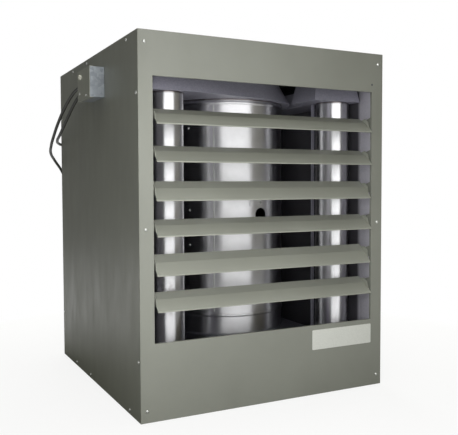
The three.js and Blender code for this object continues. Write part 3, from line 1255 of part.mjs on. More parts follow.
function observationTube() {
  const drumWall = DRUM_Y - REAR_Y
    + Math.sqrt(DRUM_RADIUS ** 2 - (OBSERVATION_SHIFT + OBSERVATION_RADIUS) ** 2);
  const tube = pipe('y', OBSERVATION_RADIUS, OBSERVATION_WALL, drumWall - 4 * DRUM_WALL,
    OBSERVATION_RIM, 16);
  const plate = roundedRectangle(-coverRadius, -coverRadius, coverRadius, coverPivotZ + 7, 6, 3);
  roundHole(plate, 0, 0, OBSERVATION_RADIUS - OBSERVATION_WALL / 2, 16);
  const stud = turned([
    [0, 0.5], [studRadius, 0.5], [studRadius, coverEnd + JOINT_GAP],
    [studRadius + 2, coverEnd + JOINT_GAP], [studRadius + 1, coverEnd + 2], [0, coverEnd + 2],
  ], 'y', 8);
  return join(tube, pushedAlongY(plate, 0, 2), move(stud, 0, 0, coverPivotZ));
}

// The cover hangs from its stud and swings aside; it is drawn about the stud.
function observationCover() {
  const outline = Array.from({ length: 20 }, (_, i) => {
    const angle = Math.PI * i / 10;
    return new THREE.Vector2(coverRadius * Math.cos(angle), coverRadius * Math.sin(angle) - coverPivotZ);
  });
  const disc = pushedAlongY(new THREE.Shape(outline), coverStart, coverEnd);
  const ear = pushedAlongY(roundedRectangle(-6, -coverPivotZ, 6, 6, 5, 3), coverStart, coverEnd);
  return cut(join(disc, ear), bar('y', clearing(studRadius, 8), 0, 2 * coverEnd, [0, 0], 8));
}

const observation = new THREE.Group();
observation.position.set(DRUM_X + OBSERVATION_SHIFT, REAR_Y, BURNER_Z + OBSERVATION_RISE);
group.add(observation);
add('observation_tube', observationTube(), galvanisedSteel(), observation);
add('observation_cover', observationCover(), galvanisedSteel(), observation)
  .position.z = coverPivotZ;

// ---------------------------------------------------------------- control box and cables

const SWITCH_Y = BOX_FRONT_Y + SWITCH_SETBACK;
const SWITCH_Z = BOX_TOP_Z - SWITCH_DROP;
const GLAND_Z = BOX_TOP_Z - GLAND_DROP;
const glandXs = {
  fan: -HALF_WIDTH - GLAND_RADIUS - JOINT_GAP,
  burner: -HALF_WIDTH - BOX_DEPTH + GLAND_RADIUS + JOINT_GAP,
};

function controlBox() {
  const body = block([BOX_FACE_X, BOX_FRONT_Y, BOX_BOTTOM_Z], [-HALF_WIDTH, BOX_REAR_Y, BOX_TOP_Z]);
  const inside = block([BOX_FACE_X - 1, BOX_FRONT_Y + BOX_SHEET, BOX_BOTTOM_Z + BOX_SHEET],
    [-HALF_WIDTH - BOX_SHEET, BOX_REAR_Y - BOX_SHEET, BOX_TOP_Z - BOX_SHEET]);
  return cut(body, inside);
}

function controlBoxCover() {
  const lip = BOX_FACE_X + BOX_COVER_LIP;
  const face = BOX_FACE_X - BOX_SHEET / 2;
  const top = BOX_TOP_Z + BOX_SHEET / 2;
  const bottom = BOX_BOTTOM_Z - BOX_SHEET / 2;
  const section = foldedSheet([[lip, top], [face, top], [face, bottom], [lip, bottom]],
    BOX_SHEET, BOX_SHEET / 2 + 0.01);
  const sheet = pushedAlongY(section, BOX_FRONT_Y, BOX_REAR_Y);
  return cut(sheet, bar('x', clearing(SWITCH_RADIUS, 16), BOX_FACE_X - 9, BOX_FACE_X + 9,
    [SWITCH_Y, SWITCH_Z], 16));
}

function switchButton() {
  const outer = BOX_FACE_X - BOX_SHEET - SWITCH_PROUD;
  return move(turned([
    [0, outer], [SWITCH_RADIUS - 2, outer], [SWITCH_RADIUS, outer + 2],
    [SWITCH_RADIUS, BOX_FACE_X + JOINT_GAP],
    [SWITCH_RADIUS + SWITCH_RIM, BOX_FACE_X + JOINT_GAP],
    [SWITCH_RADIUS + SWITCH_RIM, BOX_FACE_X + SWITCH_RIM], [0, BOX_FACE_X + SWITCH_RIM],
  ], 'x', 16), 0, SWITCH_Y, SWITCH_Z);
}

// The body behind the cover that the button slides in.
function switchBody() {
  const half = SWITCH_BODY_SIZE / 2;
  const flange = SWITCH_RADIUS + SWITCH_RIM;
  const body = block([BOX_FACE_X, SWITCH_Y - half, SWITCH_Z - half],
    [BOX_FACE_X + SWITCH_BODY_DEPTH, SWITCH_Y + half, SWITCH_Z + half]);
  return cut(body, bar('x', clearing(flange, 16), BOX_FACE_X - 1, BOX_FACE_X + 8,
    [SWITCH_Y, SWITCH_Z], 16));
}

function cableGland() {
  const hexEnd = GLAND_LENGTH * 0.45;
  return turned([
    [0, 0], [GLAND_RADIUS, 0], [GLAND_RADIUS, hexEnd], [GLAND_RADIUS - 2, hexEnd],
    [GLAND_RADIUS - 2, GLAND_LENGTH - 4], [CABLE_RADIUS + 1, GLAND_LENGTH], [0, GLAND_LENGTH],
  ], 'y', 12);
}

add('control_box', controlBox(), galvanisedSteel());
add('control_box_cover', controlBoxCover(), cabinetPaint());
add('fan_switch_body', switchBody(), blackEnamel());
add('fan_switch_button', switchButton(), whitePlastic());
add('cable_gland_fan', cableGland(), galvanisedSteel())
  .position.set(glandXs.fan, BOX_REAR_Y, GLAND_Z);
add('cable_gland_burner', cableGland(), blackEnamel())
  .position.set(glandXs.burner, BOX_REAR_Y, GLAND_Z);

const cableStart = BOX_REAR_Y + GLAND_LENGTH + JOINT_GAP;
const fanCableEnd = [FAN_OFFSET_X - MOTOR_RADIUS - TERMINAL_SIZE[0] - GLAND_LENGTH / 2 - JOINT_GAP,
  TERMINAL_Y, FAN_HEIGHT];
const burnerCableEnd = [DRUM_X - CONTROL_SIZE[0] / 2 - GLAND_LENGTH / 2 - JOINT_GAP,
  REAR_Y + CONTROL_MIDDLE, BURNER_Z + PLATFORM_TOP + CONTROL_SIZE[2] / 2];

// Both cables leave the box straight, sag along the side, round the rear corner
// and run straight into their bosses.
const fanCableRoute = [
  [glandXs.fan, cableStart, GLAND_Z],
  [glandXs.fan, cableStart + 12, GLAND_Z],
  [-409, 80, 917],
  [-414, 140, 893],
  [-418, 210, 858],
  [-420, 280, 824],
  [-419, 345, 799],
  [-413, 405, 786],
  [-396, 455, 778],
  [-358, 490, 768],
  [-314, 514, 744],
  [-274, 530, 708],
  [-238, 537, 668],
  [-211, fanCableEnd[1], 640],
  [fanCableEnd[0] - 12, fanCableEnd[1], fanCableEnd[2]],
  fanCableEnd,
];
const burnerCableRoute = [
  [glandXs.burner, cableStart, GLAND_Z],
  [glandXs.burner, cableStart + 12, GLAND_Z],
  [-434, 84, 914],
  [-443, 150, 880],
  [-449, 220, 838],
  [-450, 290, 797],
  [-446, 356, 764],
  [-434, 418, 740],
  [-408, 472, 716],
  [-372, 506, 672],
  [-348, 520, 610],
  [-334, 524, 540],
  [-314, 528, 470],
  [-272, 540, 412],
  [-214, 562, 378],
  [-150, 586, 364],
  [-96, 602, burnerCableEnd[2]],
  [burnerCableEnd[0] - 12, burnerCableEnd[1], burnerCableEnd[2]],
  burnerCableEnd,
];

add('fan_motor_cable', asGeometry(asSolid(rodAlong(fanCableRoute, CABLE_RADIUS, 8, 27))),
  cableJacket());
add('burner_cable', asGeometry(asSolid(rodAlong(burnerCableRoute, CABLE_RADIUS, 8, 38))),
  cableJacket());

export default group;
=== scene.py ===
# Ceiling mounted fan heater: surfaces, cables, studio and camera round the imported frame.

import json
import math

import bmesh
import bpy
from mathutils import Matrix, Vector


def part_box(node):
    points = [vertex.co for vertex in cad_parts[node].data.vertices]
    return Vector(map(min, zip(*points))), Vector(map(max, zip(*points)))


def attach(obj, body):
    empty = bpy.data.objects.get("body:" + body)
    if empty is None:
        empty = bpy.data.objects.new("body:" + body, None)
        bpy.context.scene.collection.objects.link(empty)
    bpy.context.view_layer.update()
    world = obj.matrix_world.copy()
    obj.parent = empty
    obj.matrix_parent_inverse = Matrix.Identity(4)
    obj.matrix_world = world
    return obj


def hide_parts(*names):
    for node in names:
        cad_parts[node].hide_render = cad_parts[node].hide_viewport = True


bl_info = {
    "name": "Ceiling Fan Heater",
    "version": (1, 0, 0),
    "blender": (4, 5, 0),
    "location": "3D View > Sidebar > Fan Heater",
    "description": "Makes the surfaces, cables and studio of a ceiling mounted fan heater",
    "category": "Object",
}

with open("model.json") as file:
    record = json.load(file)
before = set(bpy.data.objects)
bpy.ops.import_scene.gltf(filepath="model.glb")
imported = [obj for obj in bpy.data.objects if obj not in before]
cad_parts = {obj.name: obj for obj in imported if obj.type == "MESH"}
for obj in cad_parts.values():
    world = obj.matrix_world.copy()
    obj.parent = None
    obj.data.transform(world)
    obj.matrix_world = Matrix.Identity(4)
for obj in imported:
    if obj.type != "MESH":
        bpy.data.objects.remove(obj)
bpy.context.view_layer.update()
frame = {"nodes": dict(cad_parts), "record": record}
BODY_OF = {node: body for body, nodes in frame["record"]["behaviour"]["bodies"].items()
           for node in nodes}


def reach(node):
    """The low and high corners of a CAD solid at rest, in millimetres."""
    return [tuple(round(value * 1000, 2) for value in corner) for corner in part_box(node)]


def middle(node):
    """The middle of a CAD solid's box, in millimetres."""
    return tuple((a + b) / 2 for a, b in zip(*reach(node)))


def ends(node, axis):
    """Where a CAD solid starts and ends along an axis, in millimetres."""
    return [corner["xyz".index(axis)] for corner in reach(node)]


def half_width(node, axis="x"):
    """Half of a CAD solid's width along an axis, in millimetres."""
    start, end = ends(node, axis)
    return (end - start) / 2


# ---------------- colours and settings

def linear(code):
    """An sRGB hex colour as the linear numbers that a shader reads."""
    channels = [int(code[i:i + 2], 16) / 255 for i in (1, 3, 5)]
    return [c / 12.92 if c <= 0.04045 else ((c + 0.055) / 1.055) ** 2.4 for c in channels]


def colour(name, code):
    """A colour that a user may change."""
    return bpy.props.FloatVectorProperty(
        name=name, description=f"Colour of the {name.lower()}", subtype="COLOR",
        size=3, min=0.0, max=1.0, default=linear(code))


def length(name, description, default):
    """A length in metres that a user may change."""
    return bpy.props.FloatProperty(
        name=name, description=description, default=default, min=0.0, unit="LENGTH",
        subtype="DISTANCE")


class HeaterColours(bpy.types.PropertyGroup):
    """The colours of the heater's finishes."""

    cabinet_paint: colour("Cabinet paint", "#85877F")
    # A lighter copy of the cabinet paint: painted light on the louvre blades and the control box
    # cover
    paint_with_painted_light: colour("Louvre paint", "#979990")
    polished_steel: colour("Polished steel", "#D6D6D8")
    # Heat tint at the welds, also used as painted shade at the tubes' ends under the headers
    heat_tint: colour("Heat tint", "#4A3C36")
    aluminised_steel: colour("Aluminised steel", "#9695A2")
    # A paler copy of the aluminised sheet: painted light on the heat shields
    shield_steel: colour("Heat shield steel", "#D6D4DE")
    # Painted shade on the heat shields further inside the casing
    heat_stain: colour("Heat stain", "#4C4B50")
    galvanised_steel: colour("Galvanised steel", "#8D9399")
    black_enamel: colour("Black enamel", "#1E1F20")
    motor_paint: colour("Motor paint", "#34393E")
    cast_aluminium: colour("Cast aluminium", "#B4B6B8")
    burner_paint: colour("Burner paint", "#3C4043")
    cable_jacket: colour("Cable jacket", "#3A3B36")
    white_plastic: colour("White plastic", "#E6E5DA")
    red_plastic: colour("Red plastic", "#A32A22")
    copper: colour("Copper", "#D08A5E")
    plate_foil: colour("Bare plate foil", "#DCDED9")
    zinc: colour("Zinc plated screws", "#C4C6C2")
    floor: colour("Floor", "#F2F2F0")


class HeaterSizes(bpy.types.PropertyGroup):
    """The small sizes that the surfaces are given."""

    edge_round: length("Edge round", "Radius of the folded and cut sheet edges", 0.0005)
    peel_grain: length("Peel grain", "Width of a bump in the powder coat", 0.0022)
    spangle: length("Spangle", "Width of a zinc crystal on galvanised sheet", 0.009)
    screw_head: length("Screw head", "Diameter of a sheet metal screw's head", 0.009)


# ---------------- materials

def add_node(tree, kind, inputs=None, **settings):
    """Adds a node with its settings; an input is a value or another node's output."""
    node = tree.nodes.new(kind)
    for name, value in settings.items():
        setattr(node, name, value)
    for name, value in (inputs or {}).items():
        if isinstance(value, bpy.types.NodeSocket):
            tree.links.new(value, node.inputs[name])
        else:
            node.inputs[name].default_value = value
    return node


def started_material(name):
    """A material with an empty node tree, and the object coordinates for its patterns."""
    material = bpy.data.materials.new(name)
    material.use_nodes = True
    tree = material.node_tree
    tree.nodes.clear()
    return material, tree, add_node(tree, "ShaderNodeTexCoord").outputs["Object"]


def finished(material, looks):
    """Ends a material with its surface shader, fed by fixed values and by patterns."""
    tree = material.node_tree
    shader = add_node(tree, "ShaderNodeBsdfPrincipled", looks)
    add_node(tree, "ShaderNodeOutputMaterial", {"Surface": shader.outputs["BSDF"]})
    return material


# The sockets of a Mix node that blends colours
SHARE, FIRST, SECOND, BLEND = 0, 6, 7, 2
EVEN = (1.0, 1.0, 1.0)


def grain(tree, place, width, detail=2.0, stretch=EVEN):
    """Soft noise whose bumps are about the given width in metres."""
    scaled = add_node(tree, "ShaderNodeMapping", {"Vector": place, "Scale": stretch})
    noise = add_node(tree, "ShaderNodeTexNoise", {
        "Vector": scaled.outputs["Vector"], "Scale": 1.0 / width, "Detail": detail,
        "Roughness": 0.55})
    return noise.outputs["Fac"]


def drift(tree, place, width, limits, detail=2.0, stretch=EVEN, band=(0.3, 0.7)):
    """A number that wanders softly from one end to the other as the noise crosses a band."""
    ranged = add_node(tree, "ShaderNodeMapRange", {
        "Value": grain(tree, place, width, detail, stretch), "From Min": band[0],
        "From Max": band[1], "To Min": limits[0], "To Max": limits[1]})
    return ranged.outputs["Result"]


def fading(tree, place, axis, start, end):
    """A share that goes from nought to one between two places along an axis."""
    along = add_node(tree, "ShaderNodeSeparateXYZ", {"Vector": place}).outputs[axis]
    return add_node(tree, "ShaderNodeMapRange", {
        "Value": along, "From Min": start, "From Max": end}).outputs["Result"]


def ringed(tree, place, centre, start, end):
    """A share that goes from nought to one between two distances from a point."""
    away = add_node(tree, "ShaderNodeVectorMath", {0: place, 1: centre}, operation="DISTANCE")
    return add_node(tree, "ShaderNodeMapRange", {
        "Value": away.outputs["Value"], "From Min": start, "From Max": end}).outputs["Result"]


def mottled(tree, base, share, limits):
    """The base colour, wandering between two shares of its own lightness."""
    dark, light = [(*[min(1.0, channel * end) for channel in base], 1.0) for end in limits]
    return add_node(tree, "ShaderNodeMix", {SHARE: share, FIRST: dark, SECOND: light},
                    data_type="RGBA").outputs[BLEND]


def raised(tree, place, width, strength, depth, detail=2.0):
    """A fine relief of bumps, by their width and depth in metres."""
    bump = add_node(tree, "ShaderNodeBump", {
        "Height": grain(tree, place, width, detail), "Strength": strength, "Distance": depth})
    return bump.outputs["Normal"]


CLOUD_WIDTH = 0.22
RUB_WIDTH = 0.05
PEEL_DEPTH = 0.0004


def paint_finish(name, base, roughness, peel_width, peel=0.25):
    """Stoved powder coat: satin, with a fine orange peel and a faint cloudiness."""
    material, tree, place = started_material(name)
    clouds = drift(tree, place, CLOUD_WIDTH, (0.0, 1.0), 4.0)
    rubbed = drift(tree, place, RUB_WIDTH, (roughness - 0.05, roughness + 0.07), 5.0,
                   (1.0, 1.0, 0.3))
    return finished(material, {
        "Base Color": mottled(tree, base, clouds, (0.95, 1.05)), "Roughness": rubbed,
        "Normal": raised(tree, place, peel_width, peel, PEEL_DEPTH)})


BRUSHED = 0.9
BRUSHED_ROUND = 0.25
BRUSH_LINE = 0.004
WELDED_ENDS = [end / 1000 for end in ends("combustion_drum", "z")]
# How far the end colour reaches along the tubes: heat tint and painted shade
TINT_AND_SHADE_DEPTH = 0.007
SCUFF_PLACE = (-0.284, -0.326, 0.305)
SCUFF_SIZE, SCUFF_GRAIN, SCUFF_MOST = 0.055, 0.018, 0.8


def tint_shade_and_scuff(tree, place):
    """The share of the tint colour: at the welded ends of the tubes, heat tint and also painted
    shade where the headers close over them, and in the scuff on one of them.
    """
    foot, crown = WELDED_ENDS
    darkened_ends = add_node(tree, "ShaderNodeMath", {
        0: fading(tree, place, "Z", foot + TINT_AND_SHADE_DEPTH, foot),
        1: fading(tree, place, "Z", crown - TINT_AND_SHADE_DEPTH, crown)}, operation="MAXIMUM")
    scuff = add_node(tree, "ShaderNodeMath", {
        0: ringed(tree, place, SCUFF_PLACE, SCUFF_SIZE, 0.0),
        1: drift(tree, place, SCUFF_GRAIN, (0.0, SCUFF_MOST), 4.0, EVEN, (0.48, 0.62))},
        operation="MULTIPLY")
    return add_node(tree, "ShaderNodeMath", {0: darkened_ends.outputs[0], 1: scuff.outputs[0]},
                    operation="MAXIMUM").outputs[0]


def drawn_finish(name, base, roughness, tint=None):
    """Bright drawn or rolled metal.

    With a tint it is brushed round the tube, and turns that colour at its welded ends, which is
    partly heat tint and partly painted shade under the headers, and in a scuff.
    """
    material, tree, place = started_material(name)
    tone = mottled(tree, base, drift(tree, place, 0.06, (0.0, 1.0), 5.0), (0.92, 1.04))
    looks = {"Metallic": 1.0, "Roughness": drift(
        tree, place, BRUSH_LINE, (roughness - 0.03, roughness + 0.05), 3.0, (0.2, 0.2, 3.0))}
    if tint:
        tone = add_node(tree, "ShaderNodeMix", {
            SHARE: tint_shade_and_scuff(tree, place), FIRST: tone, SECOND: (*tint, 1.0)},
            data_type="RGBA").outputs[BLEND]
        tangent = add_node(tree, "ShaderNodeTangent", direction_type="RADIAL", axis="Z")
        looks |= {"Anisotropic": BRUSHED, "Anisotropic Rotation": BRUSHED_ROUND,
                  "Tangent": tangent.outputs["Tangent"]}
    return finished(material, {"Base Color": tone, **looks})


# Where the painted shade on the shields starts and where it is full, along Y
PAINTED_SHADE_DEPTH = (-0.334, -0.316)
CRYSTAL_RELIEF = 0.0002


def spangled_finish(name, base, metallic, cell, roughness, contrast, painted_shade=None):
    """Hot dipped sheet: crystals that each catch the light a little differently.

    With a shade colour the sheet turns to that colour from behind the front opening inwards:
    painted shade, where the inside of the casing lies in shade.
    """
    material, tree, place = started_material(name)
    crystals = add_node(tree, "ShaderNodeTexVoronoi", {"Vector": place, "Scale": 1.0 / cell})
    tone = add_node(tree, "ShaderNodeSeparateColor", {"Color": crystals.outputs["Color"]})
    sheet = mottled(tree, base, tone.outputs["Red"], (1.0 - contrast, 1.0 + contrast))
    # Painted shade: the sheet darkens towards the inside of the casing
    if painted_shade:
        sheet = add_node(tree, "ShaderNodeMix", {
            SHARE: fading(tree, place, "Y", *PAINTED_SHADE_DEPTH), FIRST: sheet, SECOND: (*painted_shade, 1.0)},
            data_type="RGBA").outputs[BLEND]
    gloss = add_node(tree, "ShaderNodeMapRange", {
        "Value": tone.outputs["Green"], "To Min": roughness - 0.06, "To Max": roughness + 0.06})
    return finished(material, {
        "Base Color": sheet, "Metallic": metallic, "Roughness": gloss.outputs["Result"],
        "Normal": raised(tree, place, cell * 0.6, 0.15, CRYSTAL_RELIEF)})


def cast_finish(name, base, metallic, roughness, skin):
    """A cast or moulded skin: an even, fine grain."""
    material, tree, place = started_material(name)
    pits = drift(tree, place, skin, (0.0, 1.0), 3.0)
    return finished(material, {
        "Base Color": mottled(tree, base, pits, (0.92, 1.06)), "Metallic": metallic,
        "Roughness": roughness, "Normal": raised(tree, place, skin, 0.2, skin / 8, 3.0)})


# For each slot the way its finish is made, the finish's name and its settings in order.
# A setting in quotes is one of the user's colours or sizes.
FINISHES = {
    # Olive grey powder coat: even satin sheen, a soft highlight, no sparkle
    "cabinet_paint": (paint_finish, "stoved_powder_coat", 0.42, "peel_grain"),
    # The same powder coat a shade lighter on the louvre blades and the control box cover: painted
    # light, so that they look more brightly lit than the cabinet
    "paint_with_painted_light": (paint_finish, "pale_powder_coat", 0.42, "peel_grain"),
    # Bright annealed stainless sheet: long soft streaks of light, darker at the welded ends with
    # heat tint and with painted shade where the headers overhang
    "polished_steel": (drawn_finish, "bright_annealed_steel", 0.36, "heat_tint"),
    # Aluminised sheet: dull lavender grey, fine dapple
    "aluminised_steel": (spangled_finish, "aluminised_sheet", 0.3, 0.003, 0.45, 0.08),
    # The same sheet on the shields, paler than on the headers: painted light at the front, and
    # painted shade further in
    "shield_steel": (spangled_finish, "heat_stained_sheet", 0.2, 0.003, 0.45, 0.05, "heat_stain"),
    # Galvanised sheet: pale, with zinc flowers
    "galvanised_steel": (spangled_finish, "galvanised_sheet", 0.55, "spangle", 0.4, 0.2),
    # Dipped black enamel on wire: deep and glossy
    "black_enamel": (paint_finish, "dipped_black_enamel", 0.32, "peel_grain", 0.1),
    # Sprayed motor enamel: dark, even and slightly wet
    "motor_paint": (paint_finish, "sprayed_motor_enamel", 0.4, "peel_grain", 0.2),
    # Die cast aluminium: bright grey with a fine sandy skin
    "cast_aluminium": (cast_finish, "die_cast_aluminium", 0.8, 0.42, 0.0015),
    # Hammered burner paint: dark, with a coarse peel that breaks up the highlight
    "burner_paint": (paint_finish, "hammered_burner_enamel", 0.38, "peel_grain", 0.45),
    # Extruded vinyl jacket: nearly black, a dull line of light along it
    "cable_jacket": (cast_finish, "extruded_vinyl_jacket", 0.0, 0.45, 0.001),
    # Moulded nylon: creamy white and smooth
    "white_plastic": (cast_finish, "moulded_white_nylon", 0.0, 0.35, 0.001),
    # Moulded nylon: a warning red knob
    "red_plastic": (cast_finish, "moulded_red_nylon", 0.0, 0.35, 0.001),
    # Drawn copper tube: warm and bright
    "copper": (drawn_finish, "drawn_copper_tube", 0.28),
    # Pale foil with nothing printed on it
    "plate_foil": (cast_finish, "bare_plate_foil", 0.0, 0.4, 0.002),
    # Zinc plated screw heads: small bright points
    "zinc": (cast_finish, "zinc_plated_steel", 0.8, 0.32, 0.001),
}


def make_finishes(scene):
    """Every finish on the heater, by the name of its slot."""
    chosen = {name: getattr(scene.heater_colours, name) for name in HeaterColours.__annotations__}
    chosen |= {name: getattr(scene.heater_sizes, name) for name in HeaterSizes.__annotations__}
    return {slot: make(name, chosen[slot], *[chosen.get(each, each) for each in settings])
            for slot, (make, name, *settings) in FINISHES.items()}


finishes = {}


# ---------------- shaping

LEVEL_WEIGHT = 90
SAME_CAD_POINT = 1e-5
SAME_SPUN_POINT = 1e-6
FLAT_ANGLE = 1


def mesh_of(bm, name):
    """A bmesh turned into a mesh, and freed."""
    mesh = bpy.data.meshes.new(name)
    bm.to_mesh(mesh)
    bm.free()
    return mesh


def linked(name, data):
    """A new object in the scene."""
    piece = bpy.data.objects.new(name, data)
    bpy.context.scene.collection.objects.link(piece)
    return piece


def keep(bm, name, finish, node=None, crease=35):
    """Makes a bmesh a finished piece, which may stand for a CAD solid."""
    for face in bm.faces:
        face.smooth = True
    mesh = mesh_of(bm, name)
    mesh.set_sharp_from_angle(angle=math.radians(crease))
    mesh.materials.append(finishes[finish])
    piece = linked(name, mesh)
    level = piece.modifiers.new("large_faces_stay_level", "WEIGHTED_NORMAL")
    level.keep_sharp = True
    level.weight = LEVEL_WEIGHT
    settle(piece, node)


def settle(piece, node):
    """Gives a piece its body: that of the solid it stands for, or the cabinet, and hides that
    solid.
    """
    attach(piece, BODY_OF[node] if node else "cabinet")
    if node:
        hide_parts(node)


def soften(bm, width, angle=30, segments=2):
    """Rounds every edge that turns by more than an angle."""
    edges = [edge for edge in bm.edges if len(edge.link_faces) == 2
             and edge.calc_face_angle(0.0) > math.radians(angle)]
    bmesh.ops.bevel(bm, geom=edges, offset=width, offset_type="OFFSET", segments=segments,
                    profile=0.5, affect="EDGES", clamp_overlap=True, material=-1)


def merged_copy(node):
    """A copy of a CAD solid with its triangles joined into whole faces."""
    bm = bmesh.new()
    bm.from_mesh(frame["nodes"][node].data)
    bmesh.ops.remove_doubles(bm, verts=bm.verts, dist=SAME_CAD_POINT)
    bmesh.ops.dissolve_limit(bm, angle_limit=math.radians(FLAT_ANGLE), verts=bm.verts,
                             edges=bm.edges)
    return bm


def dressed(node, finish, width=0.0005, angle=30, crease=35):
    """A CAD solid's own form with rounded edges and its finish."""
    bm = merged_copy(node)
    soften(bm, width, angle)
    keep(bm, f"{node}_surface", finish, node, crease)


TO_AXIS = {"x": Matrix.Rotation(math.radians(90), 3, "Y"),
           "y": Matrix.Rotation(math.radians(-90), 3, "X"),
           "z": Matrix.Identity(3)}


def put(bm, axis="z", place=(0, 0, 0)):
    """Turns a form from the Z axis to the named one and moves it, in millimetres."""
    bmesh.ops.transform(bm, matrix=TO_AXIS[axis].to_4x4(), verts=bm.verts)
    bmesh.ops.translate(bm, verts=bm.verts, vec=Vector(place) / 1000)
    return bm


def spun(profile, axis="z", place=(0, 0, 0), steps=96, width=0.0):
    """(radius, along) points in millimetres turned right round, with softened rims.

    A profile that starts off the axis is closed on itself, like a pipe's wall.
    """
    bm = bmesh.new()
    points = [bm.verts.new((radius / 1000, 0, along / 1000)) for radius, along in profile]
    for first, second in zip(points, points[1:]):
        bm.edges.new((first, second))
    if profile[0][0] > 0:
        bm.edges.new((points[-1], points[0]))
    bmesh.ops.spin(bm, geom=bm.verts[:] + bm.edges[:], cent=(0, 0, 0), axis=(0, 0, 1),
                   angle=2 * math.pi, steps=steps, use_merge=True)
    bmesh.ops.remove_doubles(bm, verts=bm.verts, dist=SAME_SPUN_POINT)
    bmesh.ops.recalc_face_normals(bm, faces=bm.faces)
    if width:
        soften(bm, width)
    return put(bm, axis, place)


def pipe(radius, wall, start, end):
    """Profile points of a straight pipe's wall."""
    return [(radius - wall, start), (radius, start), (radius, end), (radius - wall, end)]


def turned(node, how, finish, axis, profile, steps=96, width=0.0, crease=35):
    """A round piece that stands for a CAD solid, spun round the solid's own middle."""
    place = list(middle(node))
    place["xyz".index(axis)] = 0
    keep(spun(profile, axis, place, steps, width), f"{node}_{how}", finish, node, crease)


def arc(radius, along, size, start, end, steps=6):
    """Profile points on part of a circle, by its centre and its angles in degrees."""
    angles = [math.radians(start + (end - start) * i / steps) for i in range(steps + 1)]
    return [(radius + size * math.cos(a), along + size * math.sin(a)) for a in angles]


def bead(radius, along, height, half):
    """Profile points over a rolled bead that stands proud of a wall."""
    return [(radius + height * math.sin(math.pi * i / 6), along + half * (i / 3 - 1))
            for i in range(7)]


def slab(low, high, width=0.0):
    """A block between two corners in millimetres, with rounded edges."""
    bm = bmesh.new()
    bmesh.ops.create_cube(bm, size=1.0)
    bmesh.ops.scale(bm, verts=bm.verts, vec=[(b - a) / 1000 for a, b in zip(low, high)])
    put(bm, "z", [(a + b) / 2 for a, b in zip(low, high)])
    if width:
        soften(bm, width)
    return bm


def gathered(forms):
    """Several forms in one bmesh."""
    whole = bmesh.new()
    for form in forms:
        part = mesh_of(form, "part")
        whole.from_mesh(part)
        bpy.data.meshes.remove(part)
    return whole


def cut_away(bm, tools):
    """Cuts the tools' forms out of a solid."""
    holders = [linked("form", mesh_of(form, "form")) for form in (bm, *tools)]
    solid = holders[0]
    for tool in holders[1:]:
        hole = solid.modifiers.new("hole", "BOOLEAN")
        hole.operation = "DIFFERENCE"
        hole.solver = "EXACT"
        hole.object = tool
    shape = solid.evaluated_get(bpy.context.evaluated_depsgraph_get())
    result = bmesh.new()
    result.from_mesh(shape.to_mesh())
    for holder in holders:
        mesh = holder.data
        bpy.data.objects.remove(holder)
        bpy.data.meshes.remove(mesh)
    return result


def drill(axis, radius, start, end, place, steps=64):
    """A round tool along an axis, for cutting a hole."""
    return spun([(0, start), (radius, start), (radius, end), (0, end)], axis, place, steps)


# A screw's head from its recess to its rim, in shares of its radius and of its height
SCREW_OUTLINE = [(0, 0.55), (0.16, 0.55), (0.3, 0.98), (0.62, 0.9), (0.92, 0.5), (1, 0), (0, 0)]
SCREW_RISE = 0.52
# Diameters of the heads in metres, by what the screws hold
HEADS = {"tube": 0.005, "pump": 0.005, "shroud": 0.007, "box": 0.007, "guard_plate": 0.008,
         "burner_motor": 0.008, "fan_motor": 0.009, "flange": 0.010}


def screws(name, head, places, axis):
    """Pan head screws that stand out along +axis or, for a minus sign, the other way."""
    radius = head * 500
    rise = SCREW_RISE * radius * (-1 if axis[0] == "-" else 1)
    outline = [(radius * out, rise * up) for out, up in SCREW_OUTLINE]
    heads = [spun(outline, axis[-1], place, 20) for place in places]
    keep(gathered(heads), name, "zinc")


def wires(name, runs, radius, finish, node):
    """Round wires on smooth lines; a run is its points and whether it closes."""
    curve = bpy.data.curves.new(name, "CURVE")
    curve.dimensions = "3D"
    curve.bevel_depth = radius
    curve.bevel_resolution = 4
    curve.resolution_u = 10
    curve.use_fill_caps = True
    for points, closed in runs:
        spline = curve.splines.new("BEZIER")
        spline.bezier_points.add(len(points) - 1)
        spline.use_cyclic_u = closed
        for knot, point in zip(spline.bezier_points, points):
            knot.co = Vector(point) / 1000
            knot.handle_left_type = knot.handle_right_type = "AUTO"
    curve.materials.append(finishes[finish])
    piece = linked(name, curve)
    settle(piece, node)
    return piece


# ---------------- stage

CAMERA_PLACE = Vector((-0.972, -2.056, 0.620))
CAMERA_TURN = math.radians(27.07)
CAMERA_PITCH = math.radians(-2.70)
CAMERA_ROLL = math.radians(-0.19)
CAMERA_LENS = 52.74
SENSOR_WIDTH = 36.0


def make_camera():
    """The camera at the photograph's place, looking the same way."""
    data = bpy.data.cameras.new("photo_camera")
    data.lens = CAMERA_LENS
    data.sensor_width = SENSOR_WIDTH
    camera = linked("photo_camera", data)
    ahead = Vector((math.sin(CAMERA_TURN) * math.cos(CAMERA_PITCH),
                    math.cos(CAMERA_TURN) * math.cos(CAMERA_PITCH), math.sin(CAMERA_PITCH)))
    turn = ahead.to_track_quat("-Z", "Y").to_matrix().to_4x4()
    camera.matrix_world = (Matrix.Translation(CAMERA_PLACE) @ turn
                           @ Matrix.Rotation(CAMERA_ROLL, 4, "Z"))
    bpy.context.scene.camera = camera


def seen_directly(tree):
    """One where a ray comes from the camera, a mirror or a glass, and zero elsewhere."""
    path = add_node(tree, "ShaderNodeLightPath").outputs
    first = add_node(tree, "ShaderNodeMath", {0: path["Is Camera Ray"], 1: path["Is Glossy Ray"]},
                     operation="MAXIMUM")
    return add_node(tree, "ShaderNodeMath", {
        0: first.outputs[0], 1: path["Is Transmission Ray"]}, operation="MAXIMUM").outputs[0]


WHITE = (1, 1, 1, 1)
FILL_COLOUR = (1, 1, 0.76, 1)
FILL_STRENGTH = 0.2


